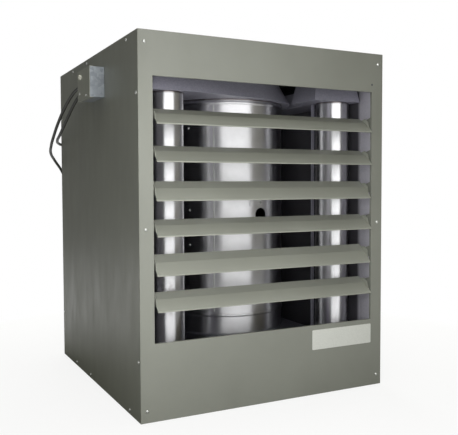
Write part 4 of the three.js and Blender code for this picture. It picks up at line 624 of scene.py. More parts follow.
def make_world():
    """A white surround to look at, and a dimmer even light from it."""
    world = bpy.data.worlds.new("studio")
    bpy.context.scene.world = world
    world.use_nodes = True
    tree = world.node_tree
    tree.nodes.clear()
    fill = add_node(tree, "ShaderNodeBackground", {
        "Color": FILL_COLOUR, "Strength": FILL_STRENGTH})
    white = add_node(tree, "ShaderNodeBackground", {"Color": WHITE, "Strength": 1.0})
    mix = add_node(tree, "ShaderNodeMixShader", {
        0: seen_directly(tree), 1: fill.outputs[0], 2: white.outputs[0]})
    add_node(tree, "ShaderNodeOutputWorld", {"Surface": mix.outputs[0]})


def staged(bm, name, material):
    """Makes a bmesh a part of the studio."""
    mesh = mesh_of(bm, name)
    mesh.materials.append(material)
    piece = linked(name, mesh)
    return piece


FLOOR_RADIUS = 9.0
FLOOR_DROP = 0.0005
FLOOR_BOUNCE = (0.2, 0.2, 0.19, 1.0)
SHADOW_REACH = (0.55, 1.3)
NEAR_GLOW = 0.84


def make_floor(base):
    """A pale floor that keeps the soft shadow and passes into white further out."""
    material, tree, place = started_material("pale_studio_floor")
    camera = add_node(tree, "ShaderNodeLightPath").outputs["Is Camera Ray"]
    tone = add_node(tree, "ShaderNodeMix", {
        SHARE: camera, FIRST: FLOOR_BOUNCE, SECOND: (*base, 1.0)}, data_type="RGBA")
    shade = add_node(tree, "ShaderNodeBsdfDiffuse", {"Color": tone.outputs[BLEND]})
    glow = add_node(tree, "ShaderNodeEmission", {"Color": WHITE, "Strength": 1.0})
    near = add_node(tree, "ShaderNodeMath", {0: camera, 1: NEAR_GLOW}, operation="MULTIPLY")
    share = add_node(tree, "ShaderNodeMath", {
        0: ringed(tree, place, (0, 0, 0), *SHADOW_REACH), 1: near.outputs[0]},
        operation="MAXIMUM")
    amount = add_node(tree, "ShaderNodeMath", {0: seen_directly(tree), 1: share.outputs[0]},
                      operation="MULTIPLY")
    mix = add_node(tree, "ShaderNodeMixShader", {
        0: amount.outputs[0], 1: shade.outputs[0], 2: glow.outputs[0]})
    add_node(tree, "ShaderNodeOutputMaterial", {"Surface": mix.outputs[0]})
    bm = bmesh.new()
    bmesh.ops.create_circle(bm, cap_ends=True, segments=64, radius=FLOOR_RADIUS)
    bmesh.ops.translate(bm, verts=bm.verts, vec=(0, 0, -FLOOR_DROP))
    staged(bm, "studio_floor", material)


# What polished metal sees round the room: a bearing in degrees from straight in front,
# to the right as positive, and the brightness and colour of the wall from there on.
WALL_BANDS = [
    (-180, (0.30, 0.30, 0.30)), (-160, (0.10, 0.10, 0.11)), (-64, (0.50, 0.47, 0.57)),
    (-44, (0.10, 0.10, 0.12)), (-30, (3.30, 3.30, 3.28)), (26, (0.24, 0.22, 0.16)),
    (72, (0.05, 0.05, 0.05)), (110, (0.10, 0.10, 0.11)), (160, (0.30, 0.30, 0.30)),
]
WALL_RADIUS = 3.4
WALL_TOP = 4.0


def make_wall():
    """A round wall of light and dark panels that only mirrors and sheens see."""
    material, tree, place = started_material("studio_panels")
    parts = add_node(tree, "ShaderNodeSeparateXYZ", {"Vector": place}).outputs
    front = add_node(tree, "ShaderNodeMath", {0: parts["Y"], 1: -1.0}, operation="MULTIPLY")
    bearing = add_node(tree, "ShaderNodeMath", {0: parts["X"], 1: front.outputs[0]},
                       operation="ARCTAN2")
    turn = add_node(tree, "ShaderNodeMapRange", {
        "Value": bearing.outputs[0], "From Min": -math.pi, "From Max": math.pi})
    ramp = add_node(tree, "ShaderNodeValToRGB", {"Fac": turn.outputs["Result"]})
    ramp.color_ramp.interpolation = "CONSTANT"
    stops = ramp.color_ramp.elements
    while len(stops) < len(WALL_BANDS):
        stops.new(0.5)
    # All places come before any colour, because the ramp sorts its stops as they move
    for stop, (degrees, tone) in zip(stops, WALL_BANDS):
        stop.position = (degrees + 180) / 360
    for stop, (degrees, tone) in zip(stops, WALL_BANDS):
        stop.color = (*tone, 1.0)
    light = add_node(tree, "ShaderNodeEmission", {"Color": ramp.outputs["Color"], "Strength": 1.0})
    add_node(tree, "ShaderNodeOutputMaterial", {"Surface": light.outputs[0]})
    bm = bmesh.new()
    bmesh.ops.create_circle(bm, segments=96, radius=WALL_RADIUS)
    risen = bmesh.ops.extrude_edge_only(bm, edges=bm.edges)["geom"]
    bmesh.ops.translate(bm, verts=[v for v in risen if isinstance(v, bmesh.types.BMVert)],
                        vec=(0, 0, WALL_TOP))
    wall = staged(bm, "studio_wall", material)
    wall.visible_camera = wall.visible_diffuse = wall.visible_shadow = False
    wall.visible_transmission = False


def make_lamp(name, place, target, size, power):
    """A soft rectangular lamp that faces a point and is too dim to be mirrored."""
    data = bpy.data.lights.new(name, "AREA")
    data.shape = "RECTANGLE"
    data.size, data.size_y = size
    data.energy = power
    lamp = linked(name, data)
    lamp.location = place
    lamp.rotation_euler = (Vector(target) - Vector(place)).to_track_quat("-Z", "Y").to_euler()
    lamp.visible_glossy = False


# Each lamp's place, the point it faces, its width and height, and its power in watts
LAMPS = {
    "front_softbox": ((-0.52, -1.25, 0.6), (-0.2, -0.42, 0.5), (0.6, 0.9), 8.0),
    "low_softbox": ((0.15, -1.5, 0.2), (0.0, -0.3, 0.8), (0.5, 0.3), 2.5),
    "top_softbox": ((0.0, 0.3, 3.2), (0.0, 0.0, 0.5), (2.6, 2.6), 50),
    "right_softbox": ((2.8, 0.5, 1.2), (0.0, 0.2, 0.5), (1.8, 1.8), 26),
    "rear_softbox": ((0.4, 3.4, 1.4), (0.0, 0.3, 0.5), (2.6, 2.0), 85),
}


class HEATER_OT_stage(bpy.types.Operator):
    """Makes the camera, the lamps, the world, the wall and the floor"""

    bl_idname = "heater.stage"
    bl_label = "Studio and camera"

    def execute(self, context):
        make_camera()
        make_world()
        make_floor(context.scene.heater_colours.floor)
        make_wall()
        for name, settings in LAMPS.items():
            make_lamp(name, *settings)
        return {"FINISHED"}


# ---------------- cables

CABLE_DIAMETER = 0.010
CABLES = {
    "fan_motor_cable": (0.749, [
        (-405.3, 30.3, 926), (-405.3, 42.3, 926), (-409, 80, 917), (-414, 140, 893),
        (-418, 210, 858), (-420, 280, 824), (-419, 345, 799), (-413, 405, 786), (-396, 455, 778),
        (-358, 490, 768), (-314, 514, 744), (-274, 530, 708), (-238, 537, 668),
        (-211, 538.6, 640), (-189.3, 538.6, 630), (-177.3, 538.6, 630)]),
    "burner_cable": (1.112, [
        (-427.7, 30.3, 926), (-427.7, 42.3, 926), (-434, 84, 914), (-443, 150, 880),
        (-449, 220, 838), (-450, 290, 797), (-446, 356, 764), (-434, 418, 740), (-408, 472, 716),
        (-372, 506, 672), (-348, 520, 610), (-334, 524, 540), (-314, 528, 470), (-272, 540, 412),
        (-214, 562, 378), (-150, 586, 364), (-96, 602, 364), (-45.3, 610, 364),
        (-33.3, 610, 364)]),
}


class HEATER_OT_cables(bpy.types.Operator):
    """Makes the two cables that run from the control box to the motor and the burner"""

    bl_idname = "heater.cables"
    bl_label = "Cables"

    def execute(self, context):
        for node, (span, points) in CABLES.items():
            cable = wires(f"{node}_run", [(points, False)], CABLE_DIAMETER / 2, "cable_jacket",
                          node)
        return {"FINISHED"}


# ---------------- cabinet

CABINET_PANELS = ["front_panel", "side_panel_left", "side_panel_right", "top_panel",
                  "bottom_panel", "rear_panel"]
FRONT = ends("front_panel", "y")[0]
SIDE, REAR, TOP = reach("rear_panel")[1]
FOIL_LOW, FOIL_HIGH = (139, FRONT - 0.8, 134), (355, FRONT, 193)
FOIL_CORNER, FOIL_EDGE = 0.003, 0.0002
PLUG_OUTLINE = [(0, -1.2), (2.2, -1.0), (3, 0), (0, 0)]
PLUG_PLACE = (355, FRONT, 926)


def hanger_nuts():
    """Four threaded nuts pressed into the top panel, each with a rim round its bore."""
    bore, shank, mouth, dish = 4.75, 10, 1.45, 1.4
    for i in range(4):
        node = f"hanger_nut_{i + 1}"
        foot, crown = ends(node, "z")
        rim = half_width(node)
        turned(node, "turned", "galvanised_steel", "z", [
            (bore, foot), (shank, foot), (shank, TOP), (rim, TOP), (rim, crown),
            (bore + mouth, crown), (bore, crown - dish)], steps=64, width=0.0005)


# The panels' screws: those near the upright edges by their height, and those in the folded
# lips by their place along the edge, a little inside it
FRONT_EDGE, FRONT_SCREWS = 377, (31, 507, 989)
REAR_EDGE, REAR_SCREWS, REAR_LIP_SCREWS = 383, (31, 250, 507, 760, 989), (-180, 60, 180)
SIDE_EDGE, SIDE_SCREWS, SIDE_LIP_SCREWS = 406, (160, 860), (-330, 60, 235)
LIP_INSET = 12


def cabinet_screws(head):
    """The screws that hold the panels together."""
    lips = (LIP_INSET, TOP - LIP_INSET)
    screws("front_screws", head, [
        (x, FRONT, z) for x in (-FRONT_EDGE, FRONT_EDGE) for z in FRONT_SCREWS], "-y")
    screws("rear_screws", head, [
        (x, REAR, z) for x in (-REAR_EDGE, REAR_EDGE) for z in REAR_SCREWS] + [
        (x, REAR, z) for x in REAR_LIP_SCREWS for z in lips], "y")
    for name, x, axis in (("left", -SIDE, "-x"), ("right", SIDE, "x")):
        places = [(x, y, z) for y in (-SIDE_EDGE, SIDE_EDGE) for z in SIDE_SCREWS]
        places += [(x, y, z) for y in SIDE_LIP_SCREWS for z in lips]
        screws(f"side_screws_{name}", head, places, axis)


def bare_plate():
    """The pale foil plate on the sill, with rounded corners and nothing on it."""
    bm = slab(FOIL_LOW, FOIL_HIGH)
    corners = []
    for edge in bm.edges:
        along = edge.verts[0].co - edge.verts[1].co
        if math.hypot(along.x, along.z) < SAME_SPUN_POINT:
            corners.append(edge)
    bmesh.ops.bevel(bm, geom=corners, offset=FOIL_CORNER, offset_type="OFFSET", segments=5,
                    profile=0.5, affect="EDGES", material=-1)
    soften(bm, FOIL_EDGE, 60, 1)
    keep(bm, "bare_plate", "plate_foil")


class HEATER_OT_cabinet(bpy.types.Operator):
    """Makes the cabinet's panels, hanger nuts, screws and bare plate"""

    bl_idname = "heater.cabinet"
    bl_label = "Cabinet"

    def execute(self, context):
        sizes = context.scene.heater_sizes
        for node in CABINET_PANELS:
            dressed(node, "cabinet_paint", sizes.edge_round)
        hanger_nuts()
        cabinet_screws(sizes.screw_head)
        bare_plate()
        keep(spun(PLUG_OUTLINE, "y", PLUG_PLACE, 24), "front_plug", "motor_paint")
        return {"FINISHED"}


LOUVRES = 6
LOUVRE_EDGE = 0.0004
# Less than the turn of the blades' crease, which so stays a sharp line
LOUVRE_CREASE = 9


class HEATER_OT_louvres(bpy.types.Operator):
    """Makes the six louvre blades"""

    bl_idname = "heater.louvres"
    bl_label = "Louvre blades"

    def execute(self, context):
        for i in range(LOUVRES):
            # The blades take the lighter copy of the cabinet paint, which is painted light
            dressed(f"louver_blade_{i + 1}", "paint_with_painted_light", LOUVRE_EDGE, crease=LOUVRE_CREASE)
        return {"FINISHED"}


# ---------------- heat exchanger

BEAD_RISE = 3
DRUM_X, DRUM_Y, _ = middle("combustion_drum")
DRUM_CENTRE = (DRUM_X, DRUM_Y, 0)
DRUM_RADIUS = half_width("combustion_drum") - BEAD_RISE
SKIRT_FOOT, DRUM_TOP = ends("combustion_drum", "z")
DRUM_FOOT = 160
DRUM_WALL = 2
KNUCKLE = 12
SKIRT_RADIUS = 160
BEAD_REACH = 6
BEAD_HEIGHTS = (DRUM_FOOT + 65, DRUM_TOP - 12)
# Rings that keep the wall's long faces away from the sight port
PORT_BAND = (500, 565)
BURNER_X, _, BURNER_Z = middle("burner_inlet_sleeve")
# The ports for the inlet sleeve, the front sight port and the observation tube: each one's
# radius, where its drill starts and ends along Y, and its X and height
DRUM_PORTS = [(58.4, 30, 170, BURNER_X, BURNER_Z), (20, -300, -160, 57, 532),
              (14.3, -20, 170, 126, 354)]


def combustion_drum():
    """The drum with its seam beads, knuckle and skirt, and its three round ports."""
    inner, floor = DRUM_RADIUS - DRUM_WALL, DRUM_FOOT + DRUM_WALL
    profile = [(0, DRUM_FOOT), (SKIRT_RADIUS, DRUM_FOOT), (SKIRT_RADIUS, SKIRT_FOOT),
               (SKIRT_RADIUS + DRUM_WALL, SKIRT_FOOT), (SKIRT_RADIUS + DRUM_WALL, DRUM_FOOT)]
    profile += arc(DRUM_RADIUS - KNUCKLE, DRUM_FOOT + KNUCKLE, KNUCKLE, -90, 0)
    profile += bead(DRUM_RADIUS, BEAD_HEIGHTS[0], BEAD_RISE, BEAD_REACH)
    profile += [(DRUM_RADIUS, z) for z in PORT_BAND]
    profile += bead(DRUM_RADIUS, BEAD_HEIGHTS[1], BEAD_RISE, BEAD_REACH)
    profile += [(DRUM_RADIUS, DRUM_TOP), (inner, DRUM_TOP), (inner, floor + KNUCKLE),
                (inner - KNUCKLE, floor), (0, floor)]
    shell = spun(profile, "z", DRUM_CENTRE, 144)
    holes = [drill("y", radius, start, end, (x, 0, z)) for radius, start, end, x, z in DRUM_PORTS]
    keep(cut_away(shell, holes), "combustion_drum_rolled", "polished_steel",
         "combustion_drum", 40)


STRIP_SUNK, STRIP_EDGE = 0.2, 0.0004


def on_drum(bearing, low, high, width, height):
    """A thin strip on the drum's wall at a bearing in degrees from its front."""
    bm = slab((-width / 2, -height, low), (width / 2, STRIP_SUNK, high), STRIP_EDGE)
    turn = math.radians(bearing)
    bmesh.ops.translate(bm, verts=bm.verts, vec=(0, -DRUM_RADIUS / 1000, 0))
    bmesh.ops.rotate(bm, verts=bm.verts, cent=(0, 0, 0), matrix=Matrix.Rotation(turn, 3, "Z"))
    return put(bm, "z", DRUM_CENTRE)


# Bearings in degrees from the drum's front, with heights, widths and how far each stands out
SEAM = (-35, DRUM_FOOT + 75, DRUM_TOP - 20, 4, 1.2)
SIGHT_TAB = (0, 557, 571, 10, 3.0)
WELDS = [(-60, 796), (-59, 546), (-59, 439), (10.5, 567)]
WELD_OUTLINE = [(0, -4), (2.8, -2.8), (4, 0), (2.8, 2.8), (0, 4)]


def drum_details():
    """The drum's lap seam, the tab over the sight port and the spot welds."""
    keep(on_drum(*SEAM), "drum_seam", "zinc")
    keep(on_drum(*SIGHT_TAB), "drum_tab", "polished_steel")
    welds = []
    for bearing, z in WELDS:
        turn = math.radians(bearing)
        place = (DRUM_X + DRUM_RADIUS * math.sin(turn), DRUM_Y - DRUM_RADIUS * math.cos(turn), z)
        welds.append(spun(WELD_OUTLINE, "z", place, 16))
    keep(gathered(welds), "drum_welds", "zinc")


TUBE_NAMES = ("front_left", "rear_left", "front_right", "rear_right")
THIN_WALL = 1.5
SCREWED_TUBE, TUBE_SCREWS = "exchanger_tube_front_right", (246, 349)


def exchanger_tubes():
    """The four flue tubes, bright and open at both ends, and two screws on a front one."""
    for name in TUBE_NAMES:
        node = f"exchanger_tube_{name}"
        turned(node, "drawn", "polished_steel", "z",
               pipe(half_width(node), THIN_WALL, *ends(node, "z")), crease=40)
    x, front = middle(SCREWED_TUBE)[0], ends(SCREWED_TUBE, "y")[0]
    screws("tube_screws", HEADS["tube"], [(x, front, z) for z in TUBE_SCREWS], "-y")


SWAGE_BACK, SWAGE_REACH = 24, 5


def flue_collar():
    """The outlet collar with its rolled swage."""
    start, end = ends("flue_collar", "y")
    radius = half_width("flue_collar") - BEAD_RISE
    profile = pipe(radius, THIN_WALL, start, end)
    profile[2:2] = bead(radius, end - SWAGE_BACK, BEAD_RISE, SWAGE_REACH)
    turned("flue_collar", "rolled", "aluminised_steel", "y", profile, crease=40)


SHIELD_EDGE = 0.0003


class HEATER_OT_exchanger(bpy.types.Operator):
    """Makes the drum, the tubes, the headers, the shields and the flue"""

    bl_idname = "heater.exchanger"
    bl_label = "Heat exchanger"

    def execute(self, context):
        combustion_drum()
        drum_details()
        exchanger_tubes()
        flue_collar()
        for node in ("header_top_left", "header_top_right", "header_bottom", "header_brace"):
            dressed(node, "aluminised_steel")
        for side in ("left", "right"):
            # The shields' finish carries painted light at the front and painted shade further in
            dressed(f"heat_shield_{side}", "shield_steel", SHIELD_EDGE)
            dressed(f"support_rail_{side}", "galvanised_steel")
        return {"FINISHED"}


# ---------------- fan

FAN_X, _, FAN_Z = middle("fan_shroud")
MOTOR_RADIUS = half_width("fan_motor")
MOTOR_START, MOTOR_END = ends("fan_motor", "y")
PLATE_DEPTH, PLATE_BORE, PLATE_RADIUS = 3, 14, 78
GUARD_FACE = MOTOR_START - PLATE_DEPTH
GUARD_WIRE = 2.5
WIRE_Y = GUARD_FACE + 1.5
# The guard's rings by their radius and place along Y, the one at its foot first
GUARD_RINGS = [(261, REAR + 4.3), (138, WIRE_Y), (198, WIRE_Y)]
GUARD_SPOKES = 6
SPOKE_STOPS = (68, 117, 216)
SPOKE_BEND, SPOKE_BULGE = 243, 5


def round_place(radius, turn, along):
    """A place round the fan's axis."""
    angle = math.radians(turn)
    return (FAN_X + radius * math.cos(angle), along, FAN_Z + radius * math.sin(angle))


SHROUD_SCREWS, SCREW_TURN, SCREW_INSET = 8, 10, 5


def fan_shroud():
    """The pressed bell mouth round the propeller, and its screws."""
    throat_end, face = ends("fan_shroud", "y")
    lip = 18
    rim = half_width("fan_shroud")
    throat = rim - 2 * lip
    profile = [(rim, REAR), (rim, face), *arc(rim - lip, face - lip, lip, 90, 180, 12),
               (throat, throat_end), (throat + THIN_WALL, throat_end),
               *arc(rim - lip, face - lip, lip - THIN_WALL, 180, 90, 12)]
    turned("fan_shroud", "pressed", "galvanised_steel", "y", profile, 128, 0.0003, 40)
    screws("shroud_screws", HEADS["shroud"], [
        round_place(rim - SCREW_INSET, 360 / SHROUD_SCREWS * i + SCREW_TURN, face)
        for i in range(SHROUD_SCREWS)], "y")


def fan_guard():
    """Welded rings and bent spokes, with the pressed plate that the motor hangs on."""
    runs = [([round_place(radius, 45 * i, y) for i in range(8)], True)
            for radius, y in GUARD_RINGS]
    foot_radius, foot_y = GUARD_RINGS[0]
    for i in range(GUARD_SPOKES):
        turn = 360 / GUARD_SPOKES * (i + 0.5)
        spoke = [round_place(radius, turn, WIRE_Y) for radius in SPOKE_STOPS]
        spoke += [round_place(SPOKE_BEND, turn, (WIRE_Y + foot_y) / 2 + SPOKE_BULGE),
                  round_place(foot_radius, turn, foot_y)]
        runs.append((spoke, False))
    wires("fan_guard_wires", runs, GUARD_WIRE / 1000, "black_enamel", "fan_guard")
    sheet = pipe(PLATE_RADIUS, PLATE_RADIUS - PLATE_BORE, GUARD_FACE, MOTOR_START)
    keep(spun(sheet, "y", (FAN_X, 0, FAN_Z), width=0.0006), "fan_guard_plate", "black_enamel")


# A motor's end bells, shell and grooves: shares of its radius and of its length, and how deep
# a groove is sunk
MOTOR_OUTLINE = [
    (0.5, 0, 0), (0.52, 0.04, 0), (0.88, 0.065, 0), (0.955, 0.09, 0), (1, 0.15, 0), (1, 0.2, 0),
    (1, 0.205, 1.2), (1, 0.215, 1.2), (1, 0.22, 0), (1, 0.76, 0), (1, 0.765, 1.2),
    (1, 0.775, 1.2), (1, 0.78, 0), (1, 0.83, 0), (0.955, 0.9, 0), (0.88, 0.935, 0),
    (0.52, 0.985, 0), (0.2, 0.99, 0), (0.18, 1, 0), (0, 1, 0)]


def motor_profile(radius, start, end, bore, depth):
    """The profile of a motor, with a blind bore for its shaft."""
    bottom = start + math.copysign(depth, end - start)
    return [(0, bottom), (bore, bottom), (bore, start)] + [
        (out * radius - sunk, start + (end - start) * along)
        for out, along, sunk in MOTOR_OUTLINE]


SHAFT_RADIUS = half_width("fan_shaft")
SHAFT_START, SHAFT_END = ends("fan_shaft", "y")
SHAFT_CHAMFER, SHAFT_ROOM = 0.75, 0.3
MOTOR_CREASE = 28
# How far out the motor's through bolts sit and how far they sink into its bell, and how far
# out the bolts on the guard's plate sit
BOLT_CIRCLE, BOLT_SUNK, PLATE_BOLT_CIRCLE = 54, 6, 73.5
TERMINAL_BOX_EDGE = 0.001


def fan_motor():
    """The fan motor, its through bolts, its shaft and its terminal box."""
    shell = motor_profile(MOTOR_RADIUS, MOTOR_START, MOTOR_END, SHAFT_RADIUS + SHAFT_ROOM,
                          SHAFT_END + 1 - MOTOR_START)
    turned("fan_motor", "shell", "motor_paint", "y", shell, crease=MOTOR_CREASE)
    screws("motor_bolts", HEADS["fan_motor"], [
        round_place(BOLT_CIRCLE, 45 + 90 * i, MOTOR_END - BOLT_SUNK) for i in range(4)], "y")
    screws("motor_plate_bolts", HEADS["guard_plate"], [
        round_place(PLATE_BOLT_CIRCLE, 360 / GUARD_SPOKES * (i + 0.5), MOTOR_START)
        for i in range(GUARD_SPOKES)], "y")
    dressed("motor_terminal_box", "motor_paint", TERMINAL_BOX_EDGE)
    shaft = [(0, SHAFT_START), (SHAFT_RADIUS - SHAFT_CHAMFER, SHAFT_START),
             (SHAFT_RADIUS, SHAFT_START + SHAFT_CHAMFER), (SHAFT_RADIUS, SHAFT_END),
             (0, SHAFT_END)]
    turned("fan_shaft", "ground", "cast_aluminium", "y", shaft, 48)


HUB_RADIUS, HUB_HALF, HUB_CHAMFER = 30, 17, 7
BLADES = 4
BLADE_ROOT = HUB_RADIUS - HUB_CHAMFER
BLADE_TIP, TIP_ROUND = 228, 15
ROOT_HALF_CHORD, CHORD_GAIN = 33, 46
BLADE_SWEEP = 14
TIP_PITCH, PITCH_GAIN = 27, 12
# The share of the pitch that the blade keeps, and the least radius that its chord wraps round
PITCH_SHARE, LEAST_WRAP = 0.8, 60
BLADE_CAMBER = 8
BLADE_SHEET = 0.002


def propeller_blade(turn):
    """One swept and cambered blade, pressed from a flat sheet."""
    bm = bmesh.new()
    bmesh.ops.create_grid(bm, x_segments=20, y_segments=14, size=1.0)
    for vert in bm.verts:
        out, across = (vert.co.x + 1) / 2, vert.co.y
        radius = BLADE_ROOT + (BLADE_TIP - TIP_ROUND * across * across - BLADE_ROOT) * out
        half_chord = ROOT_HALF_CHORD + CHORD_GAIN * math.sin(out * math.pi / 2)
        angle = math.radians(BLADE_SWEEP * out) + across * half_chord / max(radius, LEAST_WRAP)
        pitch = math.radians(TIP_PITCH + PITCH_GAIN * (1 - out))
        rise = PITCH_SHARE * across * half_chord * math.tan(pitch)
        rise += BLADE_CAMBER * out * (1 - across * across)
        vert.co = Vector((radius * math.cos(angle), rise, radius * math.sin(angle))) / 1000
    bmesh.ops.recalc_face_normals(bm, faces=bm.faces)
    bmesh.ops.solidify(bm, geom=bm.faces, thickness=BLADE_SHEET)
    bmesh.ops.rotate(bm, verts=bm.verts, cent=(0, 0, 0), matrix=Matrix.Rotation(turn, 3, "Y"))
    return bm


def propeller():
    """Four blades riveted to a turned hub."""
    bore, flat = SHAFT_RADIUS + SHAFT_ROOM, HUB_HALF - HUB_CHAMFER
    hub = spun([(bore, -HUB_HALF), (BLADE_ROOT, -HUB_HALF), (HUB_RADIUS, -flat),
                (HUB_RADIUS, flat), (BLADE_ROOT, HUB_HALF), (bore, HUB_HALF)], "y", (0, 0, 0),
               64, 0.0008)
    quarter = 2 * math.pi / BLADES
    forms = [hub] + [propeller_blade(quarter * (i + 0.5)) for i in range(BLADES)]
    keep(put(gathered(forms), "z", middle("fan_propeller")), "fan_propeller_pressed",
         "cast_aluminium", "fan_propeller", 40)


class HEATER_OT_fan(bpy.types.Operator):
    """Makes the fan's inlet, guard, motor and propeller"""

    bl_idname = "heater.fan"
    bl_label = "Fan"

    def execute(self, context):
        fan_shroud()
        fan_guard()
        fan_motor()
        propeller()
        return {"FINISHED"}


# ---------------- burner

_, SCROLL_Y, SCROLL_Z = middle("burner_motor")
BURNER_DRESSED = {
    "burner_flange": "burner_paint",
    "flame_head": "cast_aluminium",
    "burner_housing": "burner_paint",
    "burner_blower_wheel": "galvanised_steel",
    "air_inlet_plate": "burner_paint",
    "air_shutter": "galvanised_steel",
    "ignition_transformer": "burner_paint",
    "primary_control": "black_enamel",
    "reset_button": "red_plastic",
    "observation_tube": "galvanised_steel",
    "observation_cover": "galvanised_steel",
}
OIL_LINE = [(105.5, 577, 301.3), (105.5, 577, 313.3), (103.5, 563, 325.3), (101.5, 535, 323.3),
            (97.5, 513, 319), (88.3, 502, 311), (74.3, 501, 311)]
OIL_LINE_RADIUS = 0.0032
SLEEVE_RADIUS, SLEEVE_WALL = 58, 3
AIR_TUBE_WALL = 2.5
WHEEL_BORE, WHEEL_BORE_DEPTH = 5.3, 46
BURNER_BOLT_CIRCLE, PUMP_BOLT_CIRCLE = 48, 17
FLANGE_BOLT = 54


def burner_tubes():
    """The inlet sleeve with its flange, and the air tube in it."""
    sleeve, tube = "burner_inlet_sleeve", "burner_air_tube"
    flange, face = half_width(sleeve), REAR + SLEEVE_WALL
    profile = pipe(SLEEVE_RADIUS, SLEEVE_WALL, *ends(sleeve, "y"))
    profile[2:2] = [(SLEEVE_RADIUS, REAR), (flange, REAR), (flange, face), (SLEEVE_RADIUS, face)]
    turned(sleeve, "rolled", "aluminised_steel", "y", profile, width=0.0005)
    turned(tube, "rolled", "aluminised_steel", "y",
           pipe(half_width(tube), AIR_TUBE_WALL, *ends(tube, "y")), width=0.0004)


def round_scroll(radius, along):
    """Four places round the blower's axis."""
    angles = [math.pi / 4 + math.pi / 2 * i for i in range(4)]
    return [(along, SCROLL_Y + radius * math.cos(angle), SCROLL_Z + radius * math.sin(angle))
            for angle in angles]


def burner_drive():
    """The burner's motor, its oil pump and the copper line to the nozzle."""
    end, start = ends("burner_motor", "x")
    shell = motor_profile(half_width("burner_motor", "y"), start, end, WHEEL_BORE,
                          WHEEL_BORE_DEPTH)
    turned("burner_motor", "shell", "motor_paint", "x", shell, crease=MOTOR_CREASE)
    screws("burner_motor_bolts", HEADS["burner_motor"],
           round_scroll(BURNER_BOLT_CIRCLE, end + BOLT_SUNK), "-x")
    dressed("oil_pump", "cast_aluminium", 0.0008)
    screws("pump_screws", HEADS["pump"],
           round_scroll(PUMP_BOLT_CIRCLE, ends("oil_pump", "x")[1]), "x")
    wires("oil_line_run", [(OIL_LINE, False)], OIL_LINE_RADIUS, "copper", "oil_line")


class HEATER_OT_burner(bpy.types.Operator):
    """Makes the oil burner and the observation port beside it"""

    bl_idname = "heater.burner"
    bl_label = "Burner"

    def execute(self, context):
        for node, finish in BURNER_DRESSED.items():
            dressed(node, finish)
        burner_tubes()
        burner_drive()
        face = ends("burner_flange", "y")[1]
        screws("burner_flange_bolts", HEADS["flange"], [
            (BURNER_X + x, face, BURNER_Z + z) for x in (-FLANGE_BOLT, FLANGE_BOLT)
            for z in (-FLANGE_BOLT, FLANGE_BOLT)], "y")
        return {"FINISHED"}


# ---------------- control box

CONTROL_DRESSED = {
    "control_box": "galvanised_steel",
    # The cover takes the lighter copy of the cabinet paint, which is painted light
    "control_box_cover": "paint_with_painted_light",
    "fan_switch_body": "black_enamel",
}
GLANDS = {"cable_gland_fan": "galvanised_steel", "cable_gland_burner": "black_enamel"}
NUT_RADIUS, NUT_LENGTH = 9.9, 11.7
# The strain relief's radii, and how far back from its end each one lies
RELIEF_TAPER = [(8, 5), (7.4, 3), (6, 0)]
RELIEF_SUNK = 0.2
BOX_SCREWS = [(-88, 889), (-18, 900)]


def cable_glands():
    """Each cable's hexagon gland and its tapered strain relief."""
    for node, finish in GLANDS.items():
        x, _, z = middle(node)
        start, end = ends(node, "y")
        shoulder = start + NUT_LENGTH
        nut = spun([(0, start), (NUT_RADIUS, start), (NUT_RADIUS, shoulder), (0, shoulder)], "y",
                   (x, 0, z), 6, 0.0006)
        foot = shoulder - RELIEF_SUNK
        taper = [(radius, end - back) for radius, back in RELIEF_TAPER]
        relief = spun([(0, foot), (taper[0][0], foot), *taper, (0, end)], "y", (x, 0, z), 48)
        keep(gathered([nut, relief]), f"{node}_turned", finish, node)


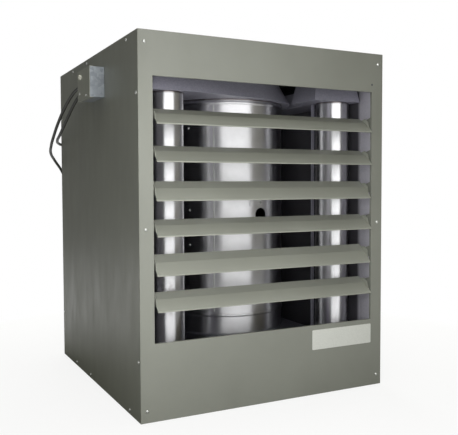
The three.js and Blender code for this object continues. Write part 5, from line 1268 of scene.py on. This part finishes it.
def switch_button():
    """The fan switch's round white cap on its collar."""
    node = "fan_switch_button"
    _, y, z = middle(node)
    crown, foot = ends(node, "x")
    collar, cap, curve, step = half_width(node, "y"), 7.5, 2, foot - 2.7
    profile = [(0, crown), (cap - 3, crown), *arc(cap - curve, crown + curve, curve, -90, 0, 4),
               (cap, step), (collar, step), (collar, foot), (0, foot)]
    keep(spun(profile, "x", (0, y, z), 48), "fan_switch_cap", "white_plastic", node)


class HEATER_OT_controls(bpy.types.Operator):
    """Makes the control box with its switch and cable glands"""

    bl_idname = "heater.controls"
    bl_label = "Control box"

    def execute(self, context):
        for node, finish in CONTROL_DRESSED.items():
            dressed(node, finish)
        switch_button()
        cable_glands()
        face = ends("control_box_cover", "x")[0]
        screws("box_screws", HEADS["box"], [(face, y, z) for y, z in BOX_SCREWS], "-x")
        return {"FINISHED"}


# ---------------- add-on

OPERATORS = (HEATER_OT_stage, HEATER_OT_cables, HEATER_OT_cabinet, HEATER_OT_louvres,
             HEATER_OT_exchanger, HEATER_OT_fan, HEATER_OT_burner, HEATER_OT_controls)


class HEATER_PT_pieces(bpy.types.Panel):
    """Shows the heater's colours and sizes, and a button for each operator that makes its parts"""

    bl_idname = "HEATER_PT_pieces"
    bl_label = "Fan Heater"
    bl_space_type = "VIEW_3D"
    bl_region_type = "UI"
    bl_category = "Fan Heater"

    def draw(self, context):
        for settings in (context.scene.heater_colours, context.scene.heater_sizes):
            for name in settings.__annotations__:
                self.layout.prop(settings, name)
        for operator in OPERATORS:
            self.layout.operator(operator.bl_idname)


CLASSES = (HeaterColours, HeaterSizes, *OPERATORS, HEATER_PT_pieces)


def register():
    """Registers the classes and hangs the settings on the scene."""
    for each in CLASSES:
        bpy.utils.register_class(each)
    bpy.types.Scene.heater_colours = bpy.props.PointerProperty(type=HeaterColours)
    bpy.types.Scene.heater_sizes = bpy.props.PointerProperty(type=HeaterSizes)


def unregister():
    """Takes the settings and the classes away again."""
    del bpy.types.Scene.heater_sizes
    del bpy.types.Scene.heater_colours
    for each in reversed(CLASSES):
        bpy.utils.unregister_class(each)


def main():
    """Makes the whole heater."""
    register()
    bpy.context.scene.view_settings.view_transform = "Standard"
    finishes.update(make_finishes(bpy.context.scene))
    for operator in OPERATORS:
        group, action = operator.bl_idname.split(".")
        getattr(getattr(bpy.ops, group), action)()


if __name__ == "__main__":
    main()
